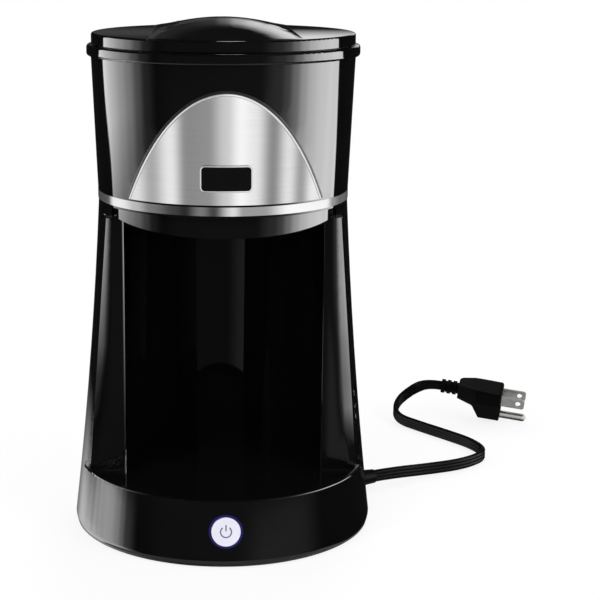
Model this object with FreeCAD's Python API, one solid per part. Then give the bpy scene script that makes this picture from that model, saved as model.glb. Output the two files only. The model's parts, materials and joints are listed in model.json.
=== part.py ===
import FreeCAD
import Part
import math
import os

from FreeCAD import Vector

# One-cup drip coffee maker. Millimetres, +Z up, front towards -Y, origin on the surface it stands on,
# under the middle of the round body.

# Lower housing: a flared round body with a mug bay cut into its front
hem_z = 2.1
hem_tuck = 0.5
skirt_z = 4.7
skirt_r = 78.5
waist_z = 173.0
waist_r = 64.0
flare_bow = 1.5
housing_wall = 2.5
deck_z = 30.8
rim_z = 34.1
rim_width = 2.6
bay_half_width = 50.5
pillar_face_y = -24.0
pillar_edge_round = 8.5
bay_edge_round = 1.4
pillar_foot_round = 2.5
shoulder_height = 5.0
shoulder_cove = 2.0
shoulder_gap = 0.3
rim_edge_round = 0.9
column_room = 16.6
column_bulge_r = 50.0
column_lean = 0.035

# Base pan, feet and screws
pan_thick = 1.3
pan_lip_height = 4.0
pan_lip_wall = 1.8
pan_clearance = 0.3
foot_r = 7.0
foot_inset = 23.5
foot_height = 1.4
foot_taper = 0.6
screw_inset = 7.5
screw_boss_r = 4.0
screw_boss_top = 22.0
screw_r = 1.5
screw_head_r = 3.0
screw_head_height = 0.5
screw_length = 12.0
screw_fit = 0.1
vent_slots = 7
vent_width = 2.4
vent_length = 30.0
vent_pitch = 5.2
vent_inset = 40.5

# Head: the round upper housing with its rim
head_top_z = 246.0
head_top_r = 67.0
head_wall = 2.4
head_floor = 2.4
flange_reach = 2.2
flange_height = 5.5
flange_round = 1.4
ledge_z = 238.0
ledge_thick = 2.0
ledge_width = 2.6

# Visor under the front of the head
visor_inset = 3.0
visor_wall = 2.6
visor_drop = 10.6
visor_slope = 0.15
visor_gap = 0.2
visor_edge_round = 1.0

# Steel trim
band_gap = 1.1
band_height = 4.3
band_thick = 0.8
band_proud = 0.25
arch_base_z = 179.4
arch_rise = 53.4
arch_half_arc = 52.9
arch_thick = 1.1
arch_proud = 0.45
arch_bed = 0.05
trim_gap = 0.1
arch_groove = 0.8
badge_width = 25.2
badge_height = 12.8
badge_corner = 2.4
badge_thick = 0.7
badge_z = 192.25

# Water tank, standpipe and brew basket
tank_wall = 1.8
tank_clearance = 0.6
tank_bottom_z = 182.0
brim_thick = 1.8
brim_clearance = 0.4
well_front_gap = 4.55
well_r = 39.0
well_top_z = 234.0
pipe_x = 14.0
pipe_inset = 8.35
pipe_r = 4.6
pipe_bore_r = 2.4
pipe_top_z = 243.0
spigot_r = 3.6
spigot_length = 11.0
seal_height = 3.6
seal_wall = 1.6
basket_gap = 0.5
basket_wall = 1.6
basket_flange = 1.8
basket_floor_z = 190.0
basket_floor_r = 24.0
nozzle_r = 7.0
nozzle_bore_r = 4.5
nozzle_tip_z = 157.0
nozzle_clearance = 1.5
tab_width = 14.0
tab_thick = 2.0
tab_height = 5.5
filter_room = 2.9
filter_floor_room = 5.0
filter_floor_z = 197.0
filter_wall = 1.4
filter_ring = 1.3
filter_rib_width = 2.2
filter_ribs = 6
mesh_thick = 0.5

# Lid, its liner and its hinge
lid_gap = 0.5
lid_inset = 0.2
lid_rim_height = 5.3
lid_wall = 2.0
lid_edge_round = 1.2
hump_height = 6.6
hump_half_width = 36.0
hump_front_spread = 1.0
liner_drop = 4.9
liner_wall = 1.8
liner_clearance = 0.8
shower_r = 22.0
shower_thick = 2.2
shower_hole_r = 1.1
shower_ring_r = 13.0
shower_holes = 8
hinge_reach = 2.9
hinge_lift = 3.2
knuckle_r = 3.3
knuckle_half_width = 17.6
ear_width = 6.0
ear_gap = 0.4
ear_root = 6.0
hinge_pin_r = 1.6
pin_clearance = 0.05

# Start button, light ring, switch and board
button_z = 18.85
button_r = 7.2
button_proud = 0.5
button_gap = 0.3
button_collar_r = 8.6
button_collar = 1.0
button_travel = 1.2
ring_width = 1.0
ring_proud = 0.25
ring_flange = 1.6
ring_flange_reach = 0.7
ring_step = 1.2
stem_r = 2.4
plunger_r = 1.7
plunger_length = 3.2
plunger_gap = 0.1
switch_size = 7.0
switch_depth = 3.6
board_inset = 15.6
board_width = 44.0
board_height = 19.0
board_thick = 1.6
board_foot_z = 8.0
rail_width = 5.0
rail_depth = 5.0

# Heater, hoses and valve in the base and the rear column
heater_z = 15.0
heater_width = 13.0
heater_height = 11.0
heater_front_y = -10.0
heater_stub = 17.0
heater_tube_bend = 12.0
heater_tube_top = 38.0
hose_wall = 1.7
hose_fit = 0.05
hose_overlap = 10.0
valve_bottom_z = 52.0
valve_length = 34.0
valve_r = 6.0
clamp_wall = 1.0
clamp_height = 5.0
strap_width = 12.0
strap_thick = 1.2
strap_post_r = 4.0
thermostat_r = 7.5
thermostat_height = 6.0
fuse_r = 2.2
fuse_length = 14.0

# Power cord, strain relief and plug
cord_d = 7.0
cord_lead = 13.0
gland_angle = 25.0
gland_z = 6.0
gland_root_r = 5.0
gland_tip_r = 3.9
gland_neck_r = 3.8
gland_length = 17.0
gland_flange = 2.0
gland_fit = 0.1
plug_lift = 5.8
plug_heading = -15.0
plug_tilt = 5.8
plug_roll = 8.0
plug_tail_lead = 9.0
relief_length = 11.0
relief_core_r = 3.6
relief_ridge = 0.8
relief_ridges = 3
plug_length = 28.0
plug_width = 21.0
plug_waist = 11.0
plug_top = 4.4
plug_heel = 15.6
plug_heel_width = 12.0
plug_round = 1.6
blade_drop = 1.1
blade_spacing = 12.7
blade_height = 6.3
blade_thick = 1.5
blade_length = 14.5
blade_hole_r = 1.6
pin_drop = 11.9
pin_r = 2.4
pin_length = 16.5
plug_tail = Vector(144.95, 169.5, plug_heel + plug_lift)
cord_points = [
    Vector(119.0, 57.4, 4.0),
    Vector(142.9, 67.7, 3.6),
    Vector(159.0, 84.1, 3.6),
    Vector(154.6, 103.8, 3.6),
    Vector(140.3, 123.2, 3.6),
    Vector(127.3, 139.5, 3.6),
    Vector(114.0, 155.8, 4.2),
    Vector(116.2, 174.0, 8.5),
    Vector(127.6, 178.5, 16.5),
]

os.makedirs("parts", exist_ok=True)
axis_z = Vector(0, 0, 1)
origin = Vector(0, 0, 0)


def save(name, shape):
    shape.exportStep("parts/" + name + ".step")
    solids = len(shape.Solids)
    print(name, "solids", solids, "volume", round(shape.Volume, 1), "valid", shape.isValid())


def line(a, b):
    return Part.LineSegment(a, b).toShape()


def outline(points):
    return Part.makePolygon(points + [points[0]])


def at(r, z):
    return Vector(r, 0, z)


def spin(wire):
    return Part.Face(wire).revolve(origin, axis_z, 360)


def spin_points(points):
    return spin(outline([at(r, z) for r, z in points]))


def disc(r, z0, z1, x=0, y=0):
    return Part.makeCylinder(r, z1 - z0, Vector(x, y, z0))


def block(x0, x1, y0, y1, z0, z1):
    return Part.makeBox(x1 - x0, y1 - y0, z1 - z0, Vector(x0, y0, z0))


def rod_y(r, y0, y1, x, z):
    return Part.makeCylinder(r, y1 - y0, Vector(x, y0, z), Vector(0, 1, 0))


def rod_x(r, x0, x1, y, z):
    return Part.makeCylinder(r, x1 - x0, Vector(x0, y, z), Vector(1, 0, 0))


def fuse(shapes):
    return shapes[0].multiFuse(shapes[1:]).removeSplitter()


# The side of the lower housing bows in a little between skirt and waist
flare = Part.Arc(
    at(skirt_r, skirt_z),
    at((skirt_r + waist_r) / 2 - flare_bow, (skirt_z + waist_z) / 2),
    at(waist_r, waist_z),
).toShape().Curve


def flare_radius(z, inset=0.0):
    reach = math.sqrt((flare.Radius + inset) ** 2 - (z - flare.Center.z) ** 2)
    return flare.Center.x - reach


def flare_solid(inset, low, high):
    middle = (low + high) / 2
    side = Part.Arc(
        at(flare_radius(low, inset), low),
        at(flare_radius(middle, inset), middle),
        at(flare_radius(high, inset), high),
    ).toShape()
    edges = [
        line(at(0, low), at(flare_radius(low, inset), low)),
        side,
        line(at(flare_radius(high, inset), high), at(0, high)),
        line(at(0, high), at(0, low)),
    ]
    return spin(Part.Wire(edges))


def head_radius(z):
    return waist_r + (head_top_r - waist_r) * (z - waist_z) / (head_top_z - waist_z)


# Sizes that several pieces share
far = 3 * skirt_r
hem_r = skirt_r - hem_tuck
deck_r = flare_radius(rim_z) - rim_width
pan_z = hem_z - pan_thick
pan_top = hem_z + pan_thick
flange_top = head_top_z + flange_height
flange_r = head_top_r + flange_reach
floor_top = waist_z + head_floor
visor_r = waist_r - visor_inset
visor_end_y = pillar_face_y - visor_gap
head_bore_r = head_top_r - head_wall
ledge_top = ledge_z + ledge_thick
ledge_bore_r = head_radius(ledge_top) - head_wall - ledge_width
tank_r = min(head_radius(tank_bottom_z) - head_wall, ledge_bore_r) - tank_clearance
brim_r = head_radius(ledge_top) - head_wall - brim_clearance
pipe_y = tank_r - tank_wall - pipe_inset
basket_y = -(tank_r - 2 * tank_wall - well_r - well_front_gap)
column_front_y = pipe_y - column_room
cup_r = well_r - basket_gap
filter_top_r = cup_r - basket_wall - filter_room
filter_floor_r = basket_floor_r - filter_floor_room
spigot_z = tank_bottom_z - spigot_length
lid_z = flange_top + lid_gap
hinge_z = lid_z + hinge_lift
lid_rim_r = head_top_r - lid_inset
lid_flat_z = lid_z + lid_rim_height
liner_z = lid_z - liner_drop
liner_r = head_bore_r - liner_clearance
hinge_y = flange_r + hinge_reach
hose_r = spigot_r + hose_fit + hose_wall
heater_low = heater_z - heater_height / 2
heater_top = heater_z + heater_height / 2
heater_rear_y = pipe_y - heater_stub
board_y = board_inset - flare_radius(button_z)
board_top = board_foot_z + board_height
foot_ring_r = skirt_r - foot_inset
screw_ring_r = skirt_r - screw_inset
vent_centre_y = vent_inset - skirt_r


def column(grow):
    middle = column_front_y + column_bulge_r
    post = Part.makeCylinder(column_bulge_r - grow, 2 * far, Vector(0, middle, waist_z - far))
    post.rotate(Vector(0, middle, waist_z), Vector(1, 0, 0), math.degrees(math.atan(column_lean)))
    return post


def bay(grow):
    low = deck_z - grow
    half = bay_half_width + grow
    mouth = block(-half, half, pillar_face_y - housing_wall, 0, low, waist_z + far)
    niche = disc(half, low, waist_z + far)
    return mouth.fuse(niche).cut(column(grow))


def open_front(grow):
    above = block(-far, far, -far, pillar_face_y + grow, rim_z - grow, waist_z + far)
    recess = disc(deck_r + grow, deck_z - grow, waist_z + far)
    return above.fuse(recess.common(block(-far, far, -far, pillar_face_y + grow, 0, waist_z + far)))


def edges_where(shape, test):
    return [edge for edge in shape.Edges if test(edge)]


def gland_frame(shape):
    shape.rotate(origin, axis_z, gland_angle)
    return shape


# Lower housing: a base with a raised rim round its deck, and behind the bay's face the full flared body
def corner_arc(r, z, round_r, turn):
    start = math.radians(turn)
    points = []
    for angle in (start, start + math.pi / 4, start + math.pi / 2):
        points.append(at(r + round_r * math.cos(angle), z + round_r * math.sin(angle)))
    return Part.Arc(*points).toShape()


rim_low = rim_z - rim_edge_round
rim_out_r = flare_radius(rim_low)
side_mid = (skirt_z + rim_low) / 2
base = spin(
    Part.Wire(
        [
            line(at(0, hem_z), at(hem_r, hem_z)),
            Part.Arc(
                at(hem_r, hem_z),
                at(skirt_r - hem_tuck * 0.3, (hem_z + skirt_z) / 2),
                at(skirt_r, skirt_z),
            ).toShape(),
            Part.Arc(
                at(skirt_r, skirt_z),
                at(flare_radius(side_mid), side_mid),
                at(rim_out_r, rim_low),
            ).toShape(),
            corner_arc(rim_out_r - rim_edge_round, rim_low, rim_edge_round, 0),
            line(at(rim_out_r - rim_edge_round, rim_z), at(deck_r + rim_edge_round, rim_z)),
            corner_arc(deck_r + rim_edge_round, rim_low, rim_edge_round, 90),
            line(at(deck_r, rim_low), at(deck_r, deck_z)),
            line(at(deck_r, deck_z), at(0, deck_z)),
            line(at(0, deck_z), at(0, hem_z)),
        ]
    )
)


def is_face_edge(edge):
    box = edge.BoundBox
    upright = box.ZLength > (waist_z - rim_z) * 0.7
    return upright and abs(box.YMin - pillar_face_y) < 0.01 and abs(box.YMax - pillar_face_y) < 0.01


def is_outer_edge(edge):
    return is_face_edge(edge) and edge.BoundBox.XLength > bay_edge_round


def is_bay_edge(edge):
    return is_face_edge(edge) and edge.BoundBox.XLength < bay_edge_round / 10


tower = flare_solid(0, skirt_z, waist_z).common(block(-far, far, pillar_face_y, far, 0, far))
tower = tower.makeFillet(pillar_edge_round, edges_where(tower, is_outer_edge))
tower = tower.cut(bay(0))
tower = tower.makeFillet(bay_edge_round, edges_where(tower, is_bay_edge))


def pillar_foot(side):
    near = side * (bay_half_width + bay_edge_round)
    reach = side * deck_r
    front_y = pillar_face_y - pillar_foot_round
    top = deck_z + pillar_foot_round
    strip = block(min(near, reach), max(near, reach), front_y, pillar_face_y, deck_z, top)
    return strip.cut(rod_x(pillar_foot_round, -far, far, front_y, top)).common(disc(deck_r, deck_z, top))


# Round shoulder that closes the top of each pillar's face, beside the end of the visor
def shoulder(side):
    near = side * (math.sqrt(visor_r**2 - visor_end_y**2) + shoulder_gap)
    reach = side * far
    low = waist_z - shoulder_height
    block_back = pillar_face_y + pillar_edge_round
    front_y = pillar_face_y - shoulder_cove
    strip = block(min(near, reach), max(near, reach), front_y, block_back, low, waist_z)
    cove = block(min(near, reach), max(near, reach), front_y, pillar_face_y, low - shoulder_cove, low)
    cove = cove.cut(rod_x(shoulder_cove, -far, far, front_y, low - shoulder_cove))
    return strip.fuse(cove).common(flare_solid(0, skirt_z, waist_z))


fronts = [pillar_foot(-1), pillar_foot(1), shoulder(-1), shoulder(1)]
body = tower.multiFuse([base] + fronts).removeSplitter()
cavity = flare_solid(housing_wall, hem_z - pan_thick, waist_z + pan_thick)
cavity = cavity.cut(open_front(housing_wall)).cut(bay(housing_wall))
housing = body.cut(cavity)

screw_angles = [45, 135, 225, 315]
bosses = []
for angle in screw_angles:
    turn = math.radians(angle)
    x = screw_ring_r * math.cos(turn)
    y = screw_ring_r * math.sin(turn)
    boss = disc(screw_boss_r, pan_top, screw_boss_top, x, y)
    bosses.append(boss.common(flare_solid(housing_wall / 2, hem_z, waist_z)))
housing = housing.multiFuse(bosses)
for angle in screw_angles:
    turn = math.radians(angle)
    x = screw_ring_r * math.cos(turn)
    y = screw_ring_r * math.sin(turn)
    housing = housing.cut(disc(screw_r + screw_fit, hem_z, pan_z + screw_length + screw_r, x, y))

ring_r = button_r + button_gap + ring_width
housing = housing.cut(rod_y(ring_r + trim_gap, -far, board_y, 0, button_z))
notch = rod_x(gland_neck_r + gland_fit, 0, far, 0, gland_z)
slot = block(0, far, -gland_neck_r - gland_fit, gland_neck_r + gland_fit, 0, gland_z)
housing = housing.cut(gland_frame(notch.fuse(slot)))
save("lower_housing", housing)

# Base pan with its locating lip, feet recesses, vents, board rails and heater posts
pan_r = hem_r - pan_clearance
lip_r = flare_radius(hem_z + pan_lip_height, housing_wall) - 2 * pan_clearance
pan = spin_points(
    [
        (0, pan_z),
        (pan_r, pan_z),
        (pan_r, hem_z),
        (lip_r, hem_z),
        (lip_r, hem_z + pan_lip_height),
        (lip_r - pan_lip_wall, hem_z + pan_lip_height),
        (lip_r - pan_lip_wall, pan_top),
        (0, pan_top),
    ]
)
foot_angles = [20, 160, 200, 340]
feet = []
screws = []
for angle in foot_angles:
    turn = math.radians(angle)
    x = foot_ring_r * math.cos(turn)
    y = foot_ring_r * math.sin(turn)
    pan = pan.cut(disc(foot_r + trim_gap, pan_z, foot_height, x, y))
    foot = Part.makeCone(foot_r - foot_taper, foot_r, foot_height / 2, Vector(x, y, 0))
    feet.append(foot.fuse(disc(foot_r, foot_height / 2, foot_height, x, y)).removeSplitter())
for angle in screw_angles:
    turn = math.radians(angle)
    x = screw_ring_r * math.cos(turn)
    y = screw_ring_r * math.sin(turn)
    pan = pan.cut(disc(screw_boss_r + pan_clearance, pan_top, far, x, y))
    pan = pan.cut(disc(screw_r + pan_clearance, 0, far, x, y))
    head_foot = Vector(x, y, pan_z - screw_head_height)
    head = Part.makeCone(screw_head_r * 0.7, screw_head_r, screw_head_height, head_foot)
    screws.append(head.fuse(disc(screw_r, pan_z, pan_z + screw_length, x, y)).removeSplitter())
for index in range(vent_slots):
    y = vent_centre_y + (index - (vent_slots - 1) / 2) * vent_pitch
    half = (vent_length - vent_width) / 2
    slit = block(-half, half, y - vent_width / 2, y + vent_width / 2, 0, far)
    ends = [disc(vent_width / 2, 0, far, -half, y), disc(vent_width / 2, 0, far, half, y)]
    pan = pan.cut(slit.multiFuse(ends))

posts = []
for side in (-1, 1):
    x = side * (board_width / 2 - rail_width / 2)
    rail = block(
        x - rail_width / 2,
        x + rail_width / 2,
        board_y - rail_depth / 2,
        board_y + board_thick + rail_depth / 2,
        pan_top,
        board_foot_z + board_height / 2,
    )
    slit = block(-far, far, board_y - trim_gap, board_y + board_thick + trim_gap, board_foot_z, far)
    posts.append(rail.cut(slit))
    x = side * (pipe_x + heater_width / 2 + strap_post_r)
    posts.append(disc(strap_post_r, pan_top, heater_top, x, heater_rear_y / 2))
    posts.append(disc(strap_post_r, pan_top, heater_low, side * pipe_x, heater_rear_y - strap_post_r))
posts.append(disc(strap_post_r, pan_top, heater_low, 0, heater_front_y - pipe_x))
pan = pan.multiFuse(posts)
pan_notch = rod_x(gland_root_r + pan_clearance, lip_r - 2 * pan_lip_wall, far, 0, gland_z)
pan = pan.cut(gland_frame(pan_notch))
save("base_pan", pan.removeSplitter())
save("rubber_feet", Part.makeCompound(feet))
save("base_screws", Part.makeCompound(screws))

# Head shell: a tapered drum with a floor, an inner ledge for the tank and a rounded rim
band_low = waist_z + band_gap
band_high = band_low + band_height
band_seat_r = head_radius(band_low) + band_proud - band_thick
lower_round = Part.Arc(
    at(flange_r - flange_round, head_top_z),
    at(flange_r - flange_round * 0.29, head_top_z + flange_round * 0.29),
    at(flange_r, head_top_z + flange_round),
).toShape()
upper_round = Part.Arc(
    at(flange_r, flange_top - flange_round),
    at(flange_r - flange_round * 0.29, flange_top - flange_round * 0.29),
    at(flange_r - flange_round, flange_top),
).toShape()
wall_edges = []
corners = [
    (head_radius(floor_top) - head_wall, waist_z),
    (waist_r, waist_z),
    (head_radius(band_low), band_low),
    (band_seat_r, band_low),
    (band_seat_r, band_high),
    (head_radius(band_high), band_high),
    (head_top_r, head_top_z),
    (flange_r - flange_round, head_top_z),
]
for first, second in zip(corners, corners[1:]):
    wall_edges.append(line(at(*first), at(*second)))
wall_edges.append(lower_round)
wall_edges.append(line(at(flange_r, head_top_z + flange_round), at(flange_r, flange_top - flange_round)))
wall_edges.append(upper_round)
corners = [
    (flange_r - flange_round, flange_top),
    (head_bore_r, flange_top),
    (head_bore_r, head_top_z),
    (head_radius(ledge_top) - head_wall, ledge_top),
    (ledge_bore_r, ledge_top),
    (ledge_bore_r, ledge_z),
    (head_radius(ledge_z) - head_wall, ledge_z - ledge_width),
    (head_radius(floor_top) - head_wall, floor_top),
    (head_radius(floor_top) - head_wall, waist_z),
]
for first, second in zip(corners, corners[1:]):
    wall_edges.append(line(at(*first), at(*second)))
head = spin(Part.Wire(wall_edges))
floor = disc(head_radius(floor_top) - head_wall, waist_z, floor_top)
floor = floor.cut(disc(nozzle_r + nozzle_clearance, 0, far, 0, basket_y))
for side in (-1, 1):
    floor = floor.cut(disc(hose_r + trim_gap, 0, far, side * pipe_x, pipe_y))
head = head.fuse(floor)


def taper_shell(inner, outer, low, high):
    return spin_points(
        [
            (head_radius(low) + inner, low),
            (head_radius(low) + outer, low),
            (head_radius(high) + outer, high),
            (head_radius(high) + inner, high),
        ]
    )


def arch_prism(grow):
    reach = arch_half_arc + grow
    top = arch_base_z + arch_rise + grow
    base = arch_base_z - min(grow, trim_gap)
    bend = head_radius(arch_base_z)
    points = []
    for step in range(-6, 7):
        s = reach * step / 6
        points.append(Vector(bend * math.sin(s / bend), 0, top - (top - base) * (step / 6) ** 2))
    curve = Part.BSplineCurve()
    curve.interpolate(points)
    face = Part.Face(Part.Wire([curve.toShape(), line(points[-1], points[0])]))
    return face.extrude(Vector(0, -far, 0))


def badge_prism(grow):
    half_x = badge_width / 2 + grow
    half_z = badge_height / 2 + grow
    plate = Part.makeBox(2 * half_x, far, 2 * half_z, Vector(-half_x, -far, badge_z - half_z))
    upright = [e for e in plate.Edges if e.BoundBox.YLength > far / 2]
    return plate.makeFillet(badge_corner, upright)


arch_low = arch_base_z - 2 * trim_gap
arch_high = arch_base_z + arch_rise + 2 * arch_groove
arch_seat = arch_proud - arch_thick
arch_pocket = taper_shell(arch_seat - arch_bed, flange_reach, arch_low, arch_high)
head = head.cut(arch_prism(arch_groove).common(arch_pocket))

# Rear ears that carry the hinge pin
ears = []
ear_inner = knuckle_half_width + ear_gap
for side in (-1, 1):
    x0 = ear_inner if side > 0 else -ear_inner - ear_width
    profile = [
        Vector(x0, head_top_r - ear_root, head_top_z),
        Vector(x0, flange_r - flange_round, head_top_z - 2 * flange_round),
        Vector(x0, hinge_y + knuckle_r, hinge_z - knuckle_r),
        Vector(x0, hinge_y + knuckle_r, hinge_z),
        Vector(x0, hinge_y - knuckle_r, hinge_z),
        Vector(x0, hinge_y - knuckle_r, flange_top),
        Vector(x0, head_top_r - ear_root, flange_top),
    ]
    web = Part.Face(outline(profile)).extrude(Vector(ear_width, 0, 0))
    ear = web.fuse(rod_x(knuckle_r, x0, x0 + ear_width, hinge_y, hinge_z))
    ear = ear.cut(disc(head_bore_r, 0, 2 * far))
    ears.append(ear.cut(rod_x(hinge_pin_r + pin_clearance, -far, far, hinge_y, hinge_z)))
head = head.multiFuse(ears)
save("head_shell", head.removeSplitter())

# Visor: a curved skirt under the front of the head whose lower edge climbs towards the pillars
visor = spin_points(
    [
        (visor_r - visor_wall, waist_z - 2 * visor_drop),
        (visor_r, waist_z - 2 * visor_drop),
        (visor_r, waist_z),
        (visor_r - visor_wall, waist_z),
    ]
)
visor = visor.common(block(-far, far, -far, visor_end_y, 0, far))
low_front = waist_z - visor_drop
under = Part.Face(
    outline(
        [
            Vector(-far, -visor_r, low_front),
            Vector(-far, far, low_front + visor_slope * (far + visor_r)),
            Vector(-far, far, 0),
            Vector(-far, -far, 0),
            Vector(-far, -far, low_front + visor_slope * (visor_r - far)),
        ]
    )
).extrude(Vector(2 * far, 0, 0))
visor = visor.cut(under)


def is_visor_edge(edge):
    box = edge.BoundBox
    return box.XLength > visor_r and box.ZMax < waist_z - 0.1


visor = visor.makeFillet(visor_edge_round, edges_where(visor, is_visor_edge))
save("visor", visor)

# Steel trim round the waist and on the front of the head
band = spin_points(
    [
        (band_seat_r, band_low),
        (band_seat_r + band_thick, band_low),
        (band_seat_r + band_thick, band_high),
        (band_seat_r, band_high),
    ]
)
save("waist_band", band)
arch = arch_prism(0).common(taper_shell(arch_seat, arch_proud, arch_low, arch_high))
save("arch_plate", arch)
badge = badge_prism(0).common(taper_shell(arch_proud, arch_proud + badge_thick, arch_low, arch_high))
save("badge_plate", badge)

# Water tank: a round tub whose well carries the basket, with an outlet and a standpipe in its floor
tank = disc(tank_r, tank_bottom_z, ledge_top + brim_thick)
tank = tank.fuse(disc(brim_r, ledge_top, ledge_top + brim_thick))
tank = tank.cut(disc(tank_r - tank_wall, tank_bottom_z + tank_wall, far * 2))
well = disc(well_r + tank_wall, tank_bottom_z, well_top_z, 0, basket_y)
tank = tank.fuse(well)
tank = tank.fuse(disc(pipe_r, tank_bottom_z, pipe_top_z, pipe_x, pipe_y))
for side in (-1, 1):
    tank = tank.fuse(disc(spigot_r, spigot_z, tank_bottom_z, side * pipe_x, pipe_y))
for side in (-1, 1):
    tank = tank.cut(disc(pipe_bore_r, 0, far * 2, side * pipe_x, pipe_y))
tank = tank.cut(disc(well_r, 0, far * 2, 0, basket_y))
save("water_tank", tank.removeSplitter())

seal_top = pipe_top_z + seal_wall
seal = disc(pipe_r + seal_wall, seal_top - seal_height, seal_top, pipe_x, pipe_y)
seal = seal.cut(disc(pipe_r, 0, pipe_top_z, pipe_x, pipe_y))
seal = seal.cut(disc(pipe_bore_r, 0, far * 2, pipe_x, pipe_y))
save("standpipe_seal", seal)

# Brew basket: a funnel that hangs by its flange in the well, with two thumb tabs and a drip nozzle
flange_z = well_top_z + basket_flange
basket_rim_r = well_r + tank_wall
funnel = spin_points(
    [
        (0, basket_floor_z - basket_wall),
        (basket_floor_r + basket_wall, basket_floor_z - basket_wall),
        (cup_r, basket_floor_z + (well_top_z - basket_floor_z) * 0.6),
        (cup_r, well_top_z),
        (basket_rim_r, well_top_z),
        (basket_rim_r, flange_z),
        (cup_r - basket_wall, flange_z),
        (cup_r - basket_wall, basket_floor_z + (well_top_z - basket_floor_z) * 0.6),
        (basket_floor_r, basket_floor_z),
        (0, basket_floor_z),
    ]
)
nozzle = Part.makeCone(nozzle_r * 0.75, nozzle_r, basket_floor_z - nozzle_tip_z, Vector(0, 0, nozzle_tip_z))
funnel = funnel.fuse(nozzle).cut(disc(nozzle_bore_r, 0, far * 2))
for side in (-1, 1):
    edge_x = side * (basket_rim_r - tab_thick)
    x0 = min(edge_x, edge_x + side * tab_thick)
    tab = block(x0, x0 + tab_thick, -tab_width / 2, tab_width / 2, well_top_z, flange_z + tab_height)
    tips = [e for e in tab.Edges if e.BoundBox.ZMin > flange_z and e.BoundBox.XLength > tab_thick / 2]
    funnel = funnel.fuse(tab.makeFillet(tab_height / 2, tips).common(disc(basket_rim_r, 0, far * 2)))
funnel.translate(Vector(0, basket_y, 0))
save("brew_basket", funnel.removeSplitter())

# Filter: a ribbed cone frame resting on the basket's flange, and the fine mesh inside it
ring_top = flange_z + filter_ring
rest_r = basket_rim_r - 2 * tab_thick
frame = spin_points(
    [
        (filter_top_r - filter_wall, flange_z - filter_ring),
        (filter_top_r, flange_z - filter_ring),
        (filter_top_r, flange_z),
        (rest_r, flange_z),
        (rest_r, ring_top),
        (filter_top_r - filter_wall, ring_top),
    ]
)
shell = spin_points(
    [
        (filter_floor_r - filter_wall, filter_floor_z),
        (filter_floor_r, filter_floor_z),
        (filter_top_r, flange_z),
        (filter_top_r - filter_wall, flange_z),
    ]
)
for index in range(filter_ribs):
    rib = block(0, far, -filter_rib_width / 2, filter_rib_width / 2, 0, far * 2)
    rib.rotate(origin, axis_z, 360 * index / filter_ribs)
    frame = frame.fuse(shell.common(rib))
frame = frame.fuse(disc(filter_floor_r, filter_floor_z - filter_wall, filter_floor_z))
frame = frame.removeSplitter()
mesh = spin_points(
    [
        (filter_floor_r - filter_wall - mesh_thick, filter_floor_z),
        (filter_floor_r - filter_wall, filter_floor_z),
        (filter_top_r - filter_wall, flange_z),
        (filter_top_r - filter_wall - mesh_thick, flange_z),
    ]
)
frame.translate(Vector(0, basket_y, 0))
mesh.translate(Vector(0, basket_y, 0))
save("filter_frame", frame)
save("filter_mesh", mesh)

# Lid: a flat round cover with a raised wave running from front to back
edge = Part.Arc(
    at(lid_rim_r, lid_flat_z - lid_edge_round),
    at(lid_rim_r - lid_edge_round * 0.29, lid_flat_z - lid_edge_round * 0.29),
    at(lid_rim_r - lid_edge_round, lid_flat_z),
).toShape()
cover = spin(
    Part.Wire(
        [
            line(at(0, lid_z), at(lid_rim_r, lid_z)),
            line(at(lid_rim_r, lid_z), at(lid_rim_r, lid_flat_z - lid_edge_round)),
            edge,
            line(at(lid_rim_r - lid_edge_round, lid_flat_z), at(0, lid_flat_z)),
            line(at(0, lid_flat_z), at(0, lid_z)),
        ]
    )
)


def hump_section(y, height, half_width):
    points = []
    for step in range(-5, 6):
        share = step / 5
        points.append(Vector(half_width * share, y, lid_flat_z + height * (1 - share * share)))
    curve = Part.BSplineCurve()
    curve.interpolate(points)
    left = Vector(points[0].x, y, lid_flat_z - lid_wall / 2)
    right = Vector(points[-1].x, y, lid_flat_z - lid_wall / 2)
    return Part.Wire(
        [curve.toShape(), line(points[-1], right), line(right, left), line(left, points[0])]
    )


def hump():
    flat_r = lid_rim_r - lid_edge_round
    stations = [(-1.02, 0.0), (-0.75, 0.42), (-0.4, 0.82), (0.0, 1.0), (0.4, 0.93), (0.75, 0.62), (1.02, 0.1)]
    sections = []
    for place, share in stations:
        spread = hump_front_spread * -place
        sections.append(hump_section(flat_r * place, hump_height * share + 0.05, hump_half_width + spread))
    ridge = Part.makeLoft(sections, True, False)
    return ridge.common(disc(flat_r, 0, far * 2))


ridge = hump()
cover = cover.fuse(ridge)
hollow = disc(lid_rim_r - lid_wall, 0, lid_flat_z - lid_wall)
under_ridge = ridge.copy()
under_ridge.translate(Vector(0, 0, -lid_wall))
cover = cover.cut(hollow).cut(under_ridge)
web_top = hinge_z + knuckle_r * 0.55
knuckle = rod_x(knuckle_r, -knuckle_half_width, knuckle_half_width, hinge_y, hinge_z)
arm = block(-knuckle_half_width, knuckle_half_width, 0, hinge_y, lid_z, web_top)
arm = arm.cut(disc(lid_rim_r - lid_wall / 2, 0, far * 2))
cover = cover.fuse(arm.fuse(knuckle))
cover = cover.cut(rod_x(hinge_pin_r + pin_clearance, -far, far, hinge_y, hinge_z))
save("lid_cover", cover.removeSplitter())

pin_half = ear_inner + ear_width
save("hinge_pin", rod_x(hinge_pin_r, -pin_half, pin_half, hinge_y, hinge_z))

liner = disc(liner_r, liner_z, lid_flat_z - lid_wall)
liner = liner.cut(disc(liner_r - liner_wall, liner_z + liner_wall, far * 2))
liner = liner.cut(disc(pipe_bore_r, 0, far * 2, pipe_x, pipe_y))
liner = liner.cut(disc(shower_r - 2 * liner_wall, 0, far * 2, 0, basket_y))
save("lid_liner", liner)

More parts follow.
